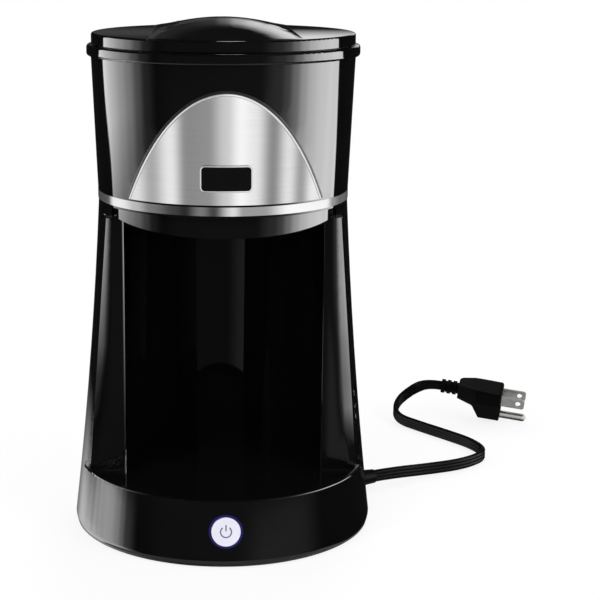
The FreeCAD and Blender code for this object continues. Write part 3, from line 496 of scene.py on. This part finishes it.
for node, (name, material) in finishes.items():
    dressed[node] = polish(node, name, material, node in onePlainFace, polishing)
print("nodes dressed,", len(dressed))

# flat three-core cord, lying on edge, from the boot to the plug
cord = {
    "route": [
        (0.08641, 0.04029, 0.006), (0.09819, 0.04578, 0.006), (0.119, 0.0574, 0.004),
        (0.1429, 0.0677, 0.0036), (0.159, 0.0841, 0.0036), (0.1546, 0.1038, 0.0036),
        (0.1403, 0.1232, 0.0036), (0.1273, 0.1395, 0.0036), (0.114, 0.1558, 0.0042),
        (0.1162, 0.174, 0.0085), (0.1276, 0.1785, 0.0165), (0.1363, 0.17182, 0.02231),
        (0.14495, 0.1695, 0.0214),
    ],
    "length": 0.222,
    "width": 0.007,
    "coreRadius": 0.0016,
    "coreStep": 0.0019,
    "twistAtPlug": 0.5,
    "twistFrom": 0.7,
    "routeSteps": 12,
    "coreSteps": 6,
    "weld": 1e-7,
    "crease": 50,
}


def routeLine(values):
    points = values["route"]
    curve = bpy.data.curves.new("cordRoute", "CURVE")
    curve.dimensions = "3D"
    curve.resolution_u = values["routeSteps"]
    spline = curve.splines.new("NURBS")
    spline.points.add(len(points) - 1)
    for point, place in zip(spline.points, points):
        point.co = (*place, 1)
    spline.order_u = 3
    spline.use_endpoint_u = True
    holder = bpy.data.objects.new("cordRoute", curve)
    scene.collection.objects.link(holder)
    line = evaluated(holder)
    path = [vertex.co.copy() for vertex in line.vertices]
    bpy.data.objects.remove(holder)
    bpy.data.meshes.remove(line)
    return path


def coreOutline(values):
    outline = []
    meet = math.degrees(math.acos(values["coreStep"] / 2 / values["coreRadius"]))
    for core, start, stop in ((-1, 180, meet), (0, 180 - meet, meet), (1, 180 - meet, 0)):
        for step in range(values["coreSteps"] + 1):
            angle = math.radians(start + (stop - start) * step / values["coreSteps"])
            across = core * values["coreStep"] + values["coreRadius"] * math.cos(angle)
            outline.append((across, values["coreRadius"] * math.sin(angle)))
    return outline + [(-across, -thick) for across, thick in outline]


def flatCord(values):
    path = routeLine(values)
    outline = coreOutline(values)
    work = bmesh.new()
    rings = []
    for index, place in enumerate(path):
        along = (path[min(index + 1, len(path) - 1)] - path[max(index - 1, 0)]).normalized()
        side = along.cross(Vector((0, 0, 1))).normalized()
        up = side.cross(along)
        share = max(0.0, index / (len(path) - 1) - values["twistFrom"]) / (1 - values["twistFrom"])
        lean = values["twistAtPlug"] * share * share * (3 - 2 * share)
        wide = up * math.cos(lean) + side * math.sin(lean)
        thin = side * math.cos(lean) - up * math.sin(lean)
        rings.append([work.verts.new(place + wide * across + thin * thick) for across, thick in outline])
    for first, second in zip(rings, rings[1:]):
        for index in range(len(outline)):
            after = (index + 1) % len(outline)
            work.faces.new((first[index], first[after], second[after], second[index]))
    work.faces.new(list(reversed(rings[0])))
    work.faces.new(rings[-1])
    bmesh.ops.remove_doubles(work, verts=work.verts, dist=values["weld"])
    bmesh.ops.recalc_face_normals(work, faces=work.faces)
    mesh = meshFrom("powerCord", work)
    smooth(mesh, values["crease"])
    piece = finishMesh("powerCord", mesh, cordRubber, "machine", "power_cord")


flatCord(cord)
print("cord laid")


# geometry node trees for what repeats; a value named with a capital is an input of its tree
def newTree(name, inputs):
    tree = bpy.data.node_groups.new(name, "GeometryNodeTree")
    tree.interface.new_socket("Geometry", in_out="INPUT", socket_type="NodeSocketGeometry")
    for label, kind in inputs.items():
        tree.interface.new_socket(label, in_out="INPUT", socket_type="NodeSocket" + kind)
    tree.interface.new_socket("Geometry", in_out="OUTPUT", socket_type="NodeSocketGeometry")
    return tree, tree.nodes.new("NodeGroupInput").outputs


def treeNode(tree, kind, inputs=None, **settings):
    node = tree.nodes.new(kind)
    for key, value in settings.items():
        setattr(node, key, value)
    for key, value in (inputs or {}).items():
        if isinstance(value, bpy.types.NodeSocket):
            tree.links.new(value, node.inputs[key])
        else:
            node.inputs[key].default_value = value
    return node.outputs[0]


def sums(tree, operation, first, second=0.0):
    return treeNode(tree, "ShaderNodeMath", {0: first, 1: second}, operation=operation)


def point(tree, x=0.0, y=0.0, z=0.0):
    return treeNode(tree, "ShaderNodeCombineXYZ", {"X": x, "Y": y, "Z": z})


def endTree(tree, shape, material):
    whole = treeNode(tree, "GeometryNodeRealizeInstances", {"Geometry": shape})
    painted = treeNode(tree, "GeometryNodeSetMaterial", {"Geometry": whole, "Material": material})
    tree.links.new(painted, tree.nodes.new("NodeGroupOutput").inputs[0])


def runTree(name, tree, values):
    holder = bpy.data.objects.new(name, bpy.data.meshes.new(name + "Seed"))
    scene.collection.objects.link(holder)
    nodes = holder.modifiers.new(name, "NODES")
    nodes.node_group = tree
    for item in tree.interface.items_tree:
        if item.in_out == "INPUT" and item.name in values:
            nodes[item.identifier] = values[item.name]
    mesh = evaluated(holder)
    holder.modifiers.remove(nodes)
    bpy.data.objects.remove(holder)
    smooth(mesh, values["crease"])
    return mesh


# woven steel cone in the filter: upright wires and hoops that pass over and under each other
weave = {
    "Floor radius": 0.01735,
    "Top radius": 0.03235,
    "Wires": 88,
    "Hoops": 27,
    "Wire radius": 0.00018,
    "stepsPerWire": 3.0,
    "wireSides": 4,
    "crease": 40,
}


def weaveFilter(values):
    low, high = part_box("filter_mesh")
    tree, given = newTree("wovenCone", {
        "Floor radius": "Float", "Top radius": "Float", "Height": "Float", "Wires": "Int", "Hoops": "Int",
        "Wire radius": "Float", "Material": "Material",
    })
    floorRadius, topRadius, height = given["Floor radius"], given["Top radius"], given["Height"]
    index = treeNode(tree, "GeometryNodeInputIndex")
    rows = sums(tree, "SUBTRACT", given["Hoops"], 1.0)
    share = sums(tree, "DIVIDE", index, rows)
    widening = sums(tree, "SUBTRACT", topRadius, floorRadius)
    radius = sums(tree, "ADD", floorRadius, sums(tree, "MULTIPLY", share, widening))
    hoopSpots = treeNode(tree, "GeometryNodePoints", {
        "Count": given["Hoops"], "Position": point(tree, z=sums(tree, "MULTIPLY", share, height)),
    })
    ring = treeNode(tree, "GeometryNodeCurvePrimitiveCircle", {
        "Resolution": sums(tree, "MULTIPLY", given["Wires"], values["stepsPerWire"]), "Radius": 1.0,
    })
    hoops = treeNode(tree, "GeometryNodeInstanceOnPoints", {
        "Points": hoopSpots, "Instance": ring, "Scale": point(tree, radius, radius, 1.0),
    })
    upright = treeNode(tree, "GeometryNodeResampleCurve", {
        "Curve": treeNode(tree, "GeometryNodeCurvePrimitiveLine", {
            "Start": point(tree, floorRadius), "End": point(tree, topRadius, 0.0, height),
        }),
        "Count": sums(tree, "MULTIPLY", given["Hoops"], values["stepsPerWire"]),
    })
    around = sums(tree, "DIVIDE", sums(tree, "MULTIPLY", index, 2 * math.pi), given["Wires"])
    wires = treeNode(tree, "GeometryNodeInstanceOnPoints", {
        "Points": treeNode(tree, "GeometryNodePoints", {"Count": given["Wires"]}),
        "Instance": upright,
        "Rotation": treeNode(tree, "FunctionNodeEulerToRotation", {"Euler": point(tree, z=around)}),
    })
    # how far a wire stands out of the cone, by its place
    spot = tree.nodes.new("ShaderNodeSeparateXYZ").outputs
    tree.links.new(treeNode(tree, "GeometryNodeInputPosition"), spot["X"].node.inputs[0])
    turn = sums(tree, "ARCTAN2", spot["Y"], spot["X"])
    waves = sums(tree, "DIVIDE", given["Wires"], 2.0)
    sideWave = sums(tree, "COSINE", sums(tree, "MULTIPLY", turn, waves))
    climb = sums(tree, "MULTIPLY", sums(tree, "DIVIDE", spot["Z"], height), rows)
    upWave = sums(tree, "COSINE", sums(tree, "MULTIPLY", climb, math.pi))
    lift = sums(tree, "MULTIPLY", sums(tree, "MULTIPLY", sideWave, upWave), given["Wire radius"])
    flatSpot = point(tree, spot["X"], spot["Y"])
    outward = treeNode(tree, "ShaderNodeVectorMath", {0: flatSpot}, operation="NORMALIZE")
    section = treeNode(tree, "GeometryNodeCurvePrimitiveCircle", {
        "Resolution": values["wireSides"], "Radius": given["Wire radius"],
    })
    woven = tree.nodes.new("GeometryNodeJoinGeometry")
    for strands, way in ((hoops, -1.0), (wires, 1.0)):
        push = tree.nodes.new("ShaderNodeVectorMath")
        push.operation = "SCALE"
        tree.links.new(outward, push.inputs[0])
        tree.links.new(sums(tree, "MULTIPLY", lift, way), push.inputs["Scale"])
        bent = treeNode(tree, "GeometryNodeSetPosition", {
            "Geometry": treeNode(tree, "GeometryNodeRealizeInstances", {"Geometry": strands}),
            "Offset": push.outputs[0],
        })
        tube = treeNode(tree, "GeometryNodeCurveToMesh", {"Curve": bent, "Profile Curve": section})
        tree.links.new(tube, woven.inputs[0])
    endTree(tree, woven.outputs[0], given["Material"])
    mesh = runTree("filterWeave", tree, {**values, "Height": high[2] - low[2], "Material": plainSteel})
    mesh.transform(Matrix.Translation(((low[0] + high[0]) / 2, (low[1] + high[1]) / 2, low[2])))
    finishMesh("filterWeave", mesh, plainSteel, "machine", "filter_mesh")


weaveFilter(weave)

# four cross-head screws that hold the base pan
crossScrew = {
    "Count": 4,
    "Ring radius": 0.071,
    "Head radius": 0.003,
    "Head height": 0.0005,
    "Shank radius": 0.0015,
    "Slot width": 0.0006,
    "Slot depth": 0.0011,
    "edgeShare": 0.7,  # of the head's radius: its lower edge, and the slots' length
    "headSides": 32,
    "shankSides": 24,
    "turnEach": 1.9,
    "crease": 40,
}


def driveScrews(values):
    low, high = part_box("base_screws")
    tree, given = newTree("crossScrews", {
        "Count": "Int", "Ring radius": "Float", "Head radius": "Float", "Head height": "Float",
        "Shank radius": "Float", "Shank length": "Float", "Slot width": "Float", "Slot depth": "Float",
        "Material": "Material",
    })
    edge = sums(tree, "MULTIPLY", given["Head radius"], values["edgeShare"])
    head = treeNode(tree, "GeometryNodeMeshCone", {
        "Vertices": values["headSides"], "Radius Top": given["Head radius"], "Radius Bottom": edge,
        "Depth": given["Head height"],
    })
    shank = treeNode(tree, "GeometryNodeMeshCone", {
        "Vertices": values["shankSides"], "Radius Top": given["Shank radius"],
        "Radius Bottom": given["Shank radius"], "Depth": given["Shank length"],
    })
    slots = []
    for long, short in ((edge, given["Slot width"]), (given["Slot width"], edge)):
        size = point(tree, long, short, sums(tree, "MULTIPLY", given["Slot depth"], 2.0))
        slots.append(treeNode(tree, "GeometryNodeMeshCube", {"Size": size}))
    whole = treeNode(tree, "GeometryNodeMeshBoolean", {"Mesh 2": head}, operation="UNION")
    tree.links.new(shank, whole.node.inputs["Mesh 2"])
    cut = treeNode(tree, "GeometryNodeMeshBoolean", {"Mesh 1": whole}, operation="DIFFERENCE")
    for slot in slots:
        tree.links.new(slot, cut.node.inputs["Mesh 2"])
    index = treeNode(tree, "GeometryNodeInputIndex")
    apart = sums(tree, "DIVIDE", 2 * math.pi, given["Count"])
    turn = sums(tree, "MULTIPLY", sums(tree, "ADD", index, 0.5), apart)
    spot = point(
        tree,
        sums(tree, "MULTIPLY", sums(tree, "COSINE", turn), given["Ring radius"]),
        sums(tree, "MULTIPLY", sums(tree, "SINE", turn), given["Ring radius"]),
    )
    twist = point(tree, z=sums(tree, "MULTIPLY", index, values["turnEach"]))
    screws = treeNode(tree, "GeometryNodeInstanceOnPoints", {
        "Points": treeNode(tree, "GeometryNodePoints", {"Count": given["Count"], "Position": spot}),
        "Instance": cut,
        "Rotation": treeNode(tree, "FunctionNodeEulerToRotation", {"Euler": twist}),
    })
    endTree(tree, screws, given["Material"])
    mesh = runTree("baseScrews", tree, {**values, "Shank length": high[2] - low[2], "Material": plainSteel})
    mesh.transform(Matrix.Translation((0, 0, low[2])))
    finishMesh("baseScrews", mesh, plainSteel, "machine", "base_screws")


driveScrews(crossScrew)
print("filter woven, screws driven")


# thin strips laid on front faces
strips = {"lookFrom": -0.2, "arcSteps": 8, "crease": 50}


# where a look from straight ahead meets a node's front face
def frontOf(node):
    mesh = frame["nodes"][node].data
    corners = [vertex.co for vertex in mesh.vertices]
    tree = BVHTree.FromPolygons(corners, [face.vertices for face in mesh.polygons])
    ahead = Vector((0, 1, 0))
    return lambda across, height: tree.ray_cast(Vector((across, strips["lookFrom"], height)), ahead)[0]


# a strip of one section, swept along places on a face that turns about the machine's axis
def sweep(name, places, section, closed):
    work = bmesh.new()
    rows = []
    for index, place in enumerate(places):
        before = places[index - 1] if closed or index else place
        after = places[(index + 1) % len(places)] if closed or index < len(places) - 1 else place
        out = Vector((place.x, place.y, 0)).normalized()
        side = out.cross(after - before).normalized()
        rows.append([work.verts.new(place + side * across + out * lift) for across, lift in section])
    pairs = list(zip(rows, rows[1:] + rows[:1])) if closed else list(zip(rows, rows[1:]))
    for first, second in pairs:
        for index in range(len(section)):
            after = (index + 1) % len(section)
            work.faces.new((first[index], first[after], second[after], second[index]))
    if not closed:
        work.faces.new(rows[0])
        work.faces.new(list(reversed(rows[-1])))
    bmesh.ops.recalc_face_normals(work, faces=work.faces)
    mesh = meshFrom(name, work)
    smooth(mesh, strips["crease"])
    return mesh


def beadSection(half, lift, sunk):
    turns = [math.pi * step / strips["arcSteps"] for step in range(strips["arcSteps"] + 1)]
    arc = [(half * math.cos(turn), lift * math.sin(turn)) for turn in turns]
    return arc + [(-half, -sunk), (half, -sunk)]


# rolled edge round the arch plate, in a lighter steel that paints a highlight along it, and the dark joint
# between the plate and the head
archEdge = {
    "base": 0.1794,
    "rise": 0.0534,
    "halfArc": 0.0529,
    "bend": 0.06429,
    "inset": 0.0006,
    "half": 0.00055,
    "lift": 0.00025,
    "jointOut": 0.0005,
    "jointLook": 0.0025,
    "jointHalf": 0.0008,
    "jointLift": 0.00008,
    "sunk": 0.0003,
    "clearance": 0.0001,
    "steps": 96,
}


def archLine(values, node, inset, look):
    face = frontOf(node)
    places = []
    lowest = values["base"] + values["clearance"]
    for step in range(values["steps"] + 1):
        share = 2 * step / values["steps"] - 1
        slope = -2 * values["rise"] / values["halfArc"] * share
        spots = []
        for into in (inset, look):
            arc = values["halfArc"] * share + into * slope / math.hypot(1, slope)
            height = values["base"] + values["rise"] * (1 - share * share) - into / math.hypot(1, slope)
            spots.append((values["bend"] * math.sin(arc / values["bend"]), max(height, lowest)))
        across, height = spots[0]
        seen = face(*spots[1])
        radius = math.hypot(seen.x, seen.y)
        places.append(Vector((across, -math.sqrt(radius * radius - across * across), height)))
    return places


def rollArchEdge(values):
    bead = beadSection(values["half"], values["lift"], values["sunk"])
    line = archLine(values, "arch_plate", values["inset"], values["inset"])
    mesh = sweep("archEdge", line, bead, False)
    return finishMesh("archEdge", mesh, edgeSteel, "machine", None)


def sealArch(values):
    strip = beadSection(values["jointHalf"], values["jointLift"], values["sunk"])
    line = archLine(values, "head_shell", -values["jointOut"], -values["jointLook"])
    mesh = sweep("archJoint", line, strip, False)
    finishMesh("archJoint", mesh, grainBlack, "machine", None)


archRim = rollArchEdge(archEdge)
sealArch(archEdge)

# thin raised frame round the bare badge, in the lighter steel that paints a highlight along it
badgeFrame = {
    "width": 0.0252,
    "height": 0.0128,
    "corner": 0.0024,
    "middle": 0.19225,
    "inset": 0.00035,
    "half": 0.00032,
    "lift": 0.00015,
    "sunk": 0.0002,
    "cornerSteps": 8,
    "runSteps": 12,
}


def frameBadge(values):
    face = frontOf("badge_plate")
    corner = values["corner"] - values["inset"]
    wide = values["width"] / 2 - values["inset"] - corner
    tall = values["height"] / 2 - values["inset"] - corner
    places = []
    for turn, (sideX, sideZ) in enumerate(((1, 1), (-1, 1), (-1, -1), (1, -1))):
        for step in range(values["cornerSteps"] + 1):
            angle = math.pi / 2 * (turn + step / values["cornerSteps"])
            across = sideX * wide + corner * math.cos(angle)
            places.append(face(across, values["middle"] + sideZ * tall + corner * math.sin(angle)))
        if turn in (0, 2):
            for step in range(1, values["runSteps"]):
                across = sideX * wide * (1 - 2 * step / values["runSteps"])
                places.append(face(across, values["middle"] + sideZ * (tall + corner)))
    bead = beadSection(values["half"], values["lift"], values["sunk"])
    mesh = sweep("badgeFrame", places, bead, True)
    return finishMesh("badgeFrame", mesh, edgeSteel, "machine", None)


badgeRim = frameBadge(badgeFrame)
print("trim edged")

# power sign on the button: an open ring with a bar through its gap
sign = {
    "middle": 0.01885,
    "radius": 0.0027,
    "half": 0.0003,
    "gap": 38,
    "bar": (0.0005, 0.0035),
    "thick": 0.00004,
    "ringSteps": 48,
    "barSteps": 4,
}


def markButton(values):
    face = frontOf("start_button")
    half, thick = values["half"], values["thick"]
    band = [(-half, -thick), (-half, thick), (half, thick), (half, -thick)]
    ring = []
    for step in range(values["ringSteps"] + 1):
        angle = math.radians(90 + values["gap"] + (360 - 2 * values["gap"]) * step / values["ringSteps"])
        ring.append((values["radius"] * math.cos(angle), values["radius"] * math.sin(angle)))
    low, high = values["bar"]
    bar = [(0, low + (high - low) * step / values["barSteps"]) for step in range(values["barSteps"] + 1)]
    work = bmesh.new()
    for line in (ring, bar):
        places = [face(across, values["middle"] + rise) for across, rise in line]
        part = sweep("signPart", places, band, False)
        work.from_mesh(part)
        bpy.data.meshes.remove(part)
    mesh = meshFrom("buttonSign", work)
    finishMesh("buttonSign", mesh, signInk, "button", None)


markButton(sign)
print("button marked")

# pale floor that keeps the machine's shadow and fades into the white round it
floor = {"middle": (0.05, 0.05), "radius": 0.55, "fadeFrom": 0.3, "steps": 96, "white": 0.9, "own": 0.84}


def layFloor(values):
    work = bmesh.new()
    bmesh.ops.create_circle(work, cap_ends=True, segments=values["steps"], radius=values["radius"])
    mesh = meshFrom("floor", work)
    material, nodes, links, shader = newMaterial("floorWhite")
    nodes.remove(shader)
    cloth = addNode(nodes, "ShaderNodeBsdfDiffuse", Color=(values["white"],) * 3 + (1,))
    glow = addNode(nodes, "ShaderNodeEmission", Color=(1, 1, 1, 1), Strength=1.0)
    clear = addNode(nodes, "ShaderNodeBsdfTransparent")
    blend = addNode(nodes, "ShaderNodeMixShader", Fac=values["own"])
    links.new(cloth.outputs[0], blend.inputs[1])
    links.new(glow.outputs[0], blend.inputs[2])
    seen = addNode(nodes, "ShaderNodeLightPath")
    either = addNode(nodes, "ShaderNodeMixShader")
    links.new(seen.outputs["Is Camera Ray"], either.inputs["Fac"])
    links.new(cloth.outputs[0], either.inputs[1])
    links.new(blend.outputs[0], either.inputs[2])
    place = addNode(nodes, "ShaderNodeTexCoord")
    far = addNode(nodes, "ShaderNodeVectorMath", operation="LENGTH")
    links.new(place.outputs["Object"], far.inputs[0])
    fade = addNode(nodes, "ShaderNodeMapRange", interpolation_type="SMOOTHSTEP")
    fade.inputs[1].default_value = values["fadeFrom"]
    fade.inputs[2].default_value = values["radius"]
    links.new(far.outputs["Value"], fade.inputs[0])
    melt = addNode(nodes, "ShaderNodeMixShader")
    links.new(fade.outputs[0], melt.inputs["Fac"])
    links.new(either.outputs[0], melt.inputs[1])
    links.new(clear.outputs[0], melt.inputs[2])
    links.new(melt.outputs[0], nodes["Material Output"].inputs["Surface"])
    mesh.materials.append(material)
    piece = bpy.data.objects.new("floor", mesh)
    piece.location = (*values["middle"], 0)
    scene.collection.objects.link(piece)
    piece.visible_glossy = False


layFloor(floor)

# world: white where the camera or a reflection looks, an even grey for soft light
soft = {"level": 0.6}


def hangSky(values):
    world = bpy.data.worlds.new("studio")
    scene.world = world
    world.use_nodes = True
    nodes, links = world.node_tree.nodes, world.node_tree.links
    nodes.clear()
    white = addNode(nodes, "ShaderNodeBackground", Color=(1, 1, 1, 1), Strength=1.0)
    grey = addNode(nodes, "ShaderNodeBackground", Color=(1, 1, 1, 1), Strength=values["level"])
    seen = addNode(nodes, "ShaderNodeLightPath")
    first = addNode(nodes, "ShaderNodeMath", operation="MAXIMUM")
    second = addNode(nodes, "ShaderNodeMath", operation="MAXIMUM")
    either = addNode(nodes, "ShaderNodeMixShader")
    output = addNode(nodes, "ShaderNodeOutputWorld")
    links.new(seen.outputs["Is Camera Ray"], first.inputs[0])
    links.new(seen.outputs["Is Glossy Ray"], first.inputs[1])
    links.new(first.outputs[0], second.inputs[0])
    links.new(seen.outputs["Is Transmission Ray"], second.inputs[1])
    links.new(second.outputs[0], either.inputs["Fac"])
    links.new(grey.outputs[0], either.inputs[1])
    links.new(white.outputs[0], either.inputs[2])
    links.new(either.outputs[0], output.inputs["Surface"])


hangSky(soft)

# the studio that the gloss shows: a round dark wall with soft screens standing on it
studio = {
    "radius": 1.0,
    "low": -0.7,
    "high": 1.3,
    "dark": 0.01,
    "floor": 0.5,
    "turns": 720,
    "rings": 100,
    "clear": False,
    "screens": [
        {
            "stops": [  # brightness at degrees from the front, right positive
                (-140, 5.6), (-125, 5.4), (-109, 5.1), (-98, 4.3), (-88, 3.2), (-78, 1.3), (-70, 0.3),
                (-58, 0),
            ],
            "heights": (-0.12, 0.06, 0.5, 0.7),  # where it starts, is full, fades and ends
            "edge": [  # degrees of its far edge where that is sharp, by height
                (-1, -118.5), (0, -118.5), (0.12, -125), (0.19, -123), (2, -123),
            ],
        },
        {
            "stops": [
                (-128, 0), (-120, 0.6), (-113, 2.1), (-106, 3.3), (-98, 4.2), (-93, 4.3), (-86, 3.3),
                (-81, 1.8), (-77, 0.6), (-66, 0),
            ],
            "heights": (-0.75, -0.71, -0.165, -0.11),
        },
        {
            "stops": [
                (-172, 0.2), (-158, 0.35), (-152, 0.65), (-146, 1.2), (-140, 1.8), (-132, 2.3), (-124, 2.6),
                (-116, 1.9), (-108, 0.6), (-102, 0),
            ],
            "heights": (-0.75, -0.71, -0.27, -0.17),
        },
        {
            "stops": [
                (28, 0), (47, 0.4), (54, 0.95), (62, 2.9), (70, 6.0), (78, 8.3), (88, 9.2), (98, 8.4),
                (114, 6.0), (130, 5.5),
            ],
            "heights": (-0.09, -0.03, 0.5, 0.7),
            "edge": [(-1, 117), (0, 116.6), (0.19, 112), (2, 112)],
        },
        {
            "stops": [(8, 0), (32, 0.2), (58, 0.2), (80, 0)],
            "heights": (-0.75, -0.71, -0.13, -0.09),
        },
        {
            "stops": [(-66, 0), (-40, 0.055), (40, 0.055), (66, 0)],
            "heights": (-0.75, -0.71, 0.5, 0.7),
        },
        {
            "stops": [
                (-180, 0.05), (-177, 0.02), (-170, 0), (148, 0), (158, 0.9), (172, 1.1), (175, 1.0),
                (177, 0.6), (178.5, 0.2), (180, 0.05),
            ],
            "heights": (0.3, 0.36, 0.46, 0.57),
        },
        {
            "stops": [(-180, 0.05), (-171, 0.06), (-160, 0)],
            "heights": (0.28, 0.31, 0.335, 0.37),
        },
    ],
}

# what the steel shows instead: soft strips all round, one set for the arch and one for the band
archStudio = {
    "radius": 0.96,
    "low": -0.7,
    "high": 1.3,
    "dark": 0.0,
    "floor": 0.5,
    "turns": 720,
    "rings": 1,
    "clear": True,
    "screens": [
        {
            "stops": [
                (-180, 0.3), (-100, 1.0), (-84, 1.15), (-66, 0.6), (-47, 1.25), (-33, 0.38), (-14, 0.42),
                (1, 0.9), (14, 1.45), (25, 1.25), (42, 0.35), (57, 1.2), (70, 0.48), (84, 1.3), (100, 1.1),
                (180, 0.3),
            ],
            "heights": (-0.71, -0.7, 1.3, 1.31),
        },
    ],
}
bandStudio = {
    "radius": 0.92,
    "low": -0.7,
    "high": 1.3,
    "dark": 0.0,
    "floor": 0.5,
    "turns": 720,
    "rings": 1,
    "clear": True,
    "screens": [
        {
            "stops": [
                (-180, 0.05), (-126, 0.12), (-117, 1.3), (-104, 1.3), (-84, 0.75), (-68, 0.28), (-45, 0.08),
                (-34, 0.03), (-20, 0.3), (-9, 0.06), (8, 1.15), (16, 0.5), (34, 0.5), (60, 1.5), (104, 1.4),
                (114, 0.45), (130, 0.2), (180, 0.05),
            ],
            "heights": (-0.71, -0.7, 1.3, 1.31),
        },
    ],
}


def glowAt(values, turn, height):
    total = values["dark"]
    for screen in values["screens"]:
        low, full, fade, end = screen["heights"]
        reach = min(1, max(0, (height - low) / (full - low))) * min(1, max(0, (end - height) / (end - fade)))
        if "edge" in screen:
            edge = eased(screen["edge"], height)
            reach *= min(1, max(0, 1 - (turn - edge) * math.copysign(1, edge)))
        total += reach * eased(screen["stops"], turn) if reach else 0
    return total


# a wall of rings of points, each with its glow, a floor and a lid
def wallMesh(name, values):
    radius, turns, rings = values["radius"], values["turns"], values["rings"]
    places, faces, glow = [], [], []
    for ring in range(rings + 1):
        height = values["low"] + (values["high"] - values["low"]) * ring / rings
        for turn in range(turns):
            angle = 360 * turn / turns - 180
            around = math.radians(angle)
            places.append((radius * math.sin(around), -radius * math.cos(around), height))
            glow.append(glowAt(values, angle, height))
    for ring in range(rings):
        for turn in range(turns):
            first, second = ring * turns + turn, ring * turns + (turn + 1) % turns
            faces.append((second, first, first + turns, second + turns))
    for height, shine, way in ((values["low"], values["floor"], 1), (values["high"], values["dark"], -1)):
        first = len(places)
        for turn in range(turns):
            around = math.radians(360 * turn / turns)
            places.append((radius * math.sin(around), radius * math.cos(around) * way, height))
        glow += [shine] * turns
        faces.append(tuple(reversed(range(first, first + turns))))
    mesh = bpy.data.meshes.new(name)
    mesh.from_pydata(places, [], faces)
    mesh.attributes.new("glow", "FLOAT", "POINT").data.foreach_set("value", glow)
    return mesh


def wallLight(name, clear):
    material, nodes, links, shader = newMaterial(name)
    nodes.remove(shader)
    brightness = addNode(nodes, "ShaderNodeAttribute", attribute_name="glow")
    light = addNode(nodes, "ShaderNodeEmission", Color=(1, 1, 1, 1))
    links.new(brightness.outputs["Fac"], light.inputs["Strength"])
    shown = light.outputs[0]
    if clear:
        both = addNode(nodes, "ShaderNodeAddShader")
        through = addNode(nodes, "ShaderNodeBsdfTransparent")
        links.new(light.outputs[0], both.inputs[0])
        links.new(through.outputs[0], both.inputs[1])
        shown = both.outputs[0]
    links.new(shown, nodes["Material Output"].inputs["Surface"])
    return material


def raiseWall(name, values):
    mesh = wallMesh(name, values)
    mesh.materials.append(wallLight(name + "Light", values["clear"]))
    piece = bpy.data.objects.new(name, mesh)
    scene.collection.objects.link(piece)
    piece.visible_camera = False
    piece.visible_diffuse = False
    piece.visible_transmission = False
    piece.visible_shadow = False
    return piece


# which pieces a wall lights, or which it leaves out
def lightOnly(light, pieces, state):
    group = bpy.data.collections.new(light.name + "Pieces")
    for piece in pieces:
        group.objects.link(piece)
    for entry in group.collection_objects:
        entry.light_linking.link_state = state
    light.light_linking.receiver_collection = group


archPieces = [dressed["arch_plate"], archRim, badgeRim, dressed["plug_blades"], dressed["ground_pin"]]
bandPieces = [dressed["waist_band"]]
lightOnly(raiseWall("studioWall", studio), archPieces + bandPieces, "EXCLUDE")
lightOnly(raiseWall("archWall", archStudio), archPieces, "INCLUDE")
lightOnly(raiseWall("bandWall", bandStudio), bandPieces, "INCLUDE")

# lamps: broad soft ones for colour, and a small one overhead that draws the thin lines on the rims
lamps = {
    "keyLamp": {"place": (-0.9, -1.0, 1.3), "aim": (0, 0, 0.12), "size": 0.9, "power": 14, "gloss": False},
    "fillLamp": {"place": (1.1, -0.8, 0.9), "aim": (0, 0, 0.12), "size": 0.9, "power": 9, "gloss": False},
    "backLamp": {"place": (0.3, 1.3, 1.3), "aim": (0.05, 0.1, 0.0), "size": 0.9, "power": 9, "gloss": False},
    "rimLamp": {
        "place": (0.05, 0.27, 1.2), "aim": (0, -0.07, 0.25), "size": 0.17, "power": 1.1, "gloss": True,
    },
}


def addLamp(name, values):
    data = bpy.data.lights.new(name, "AREA")
    data.shape = "DISK" if values["gloss"] else "SQUARE"
    data.size = values["size"]
    data.energy = values["power"]
    lamp = bpy.data.objects.new(name, data)
    lamp.location = values["place"]
    lamp.rotation_mode = "QUATERNION"
    lamp.rotation_quaternion = (Vector(values["aim"]) - Vector(values["place"])).to_track_quat("-Z", "Y")
    lamp.visible_camera = False
    lamp.visible_glossy = values["gloss"]
    scene.collection.objects.link(lamp)


for name, values in lamps.items():
    addLamp(name, values)
print("set lit")
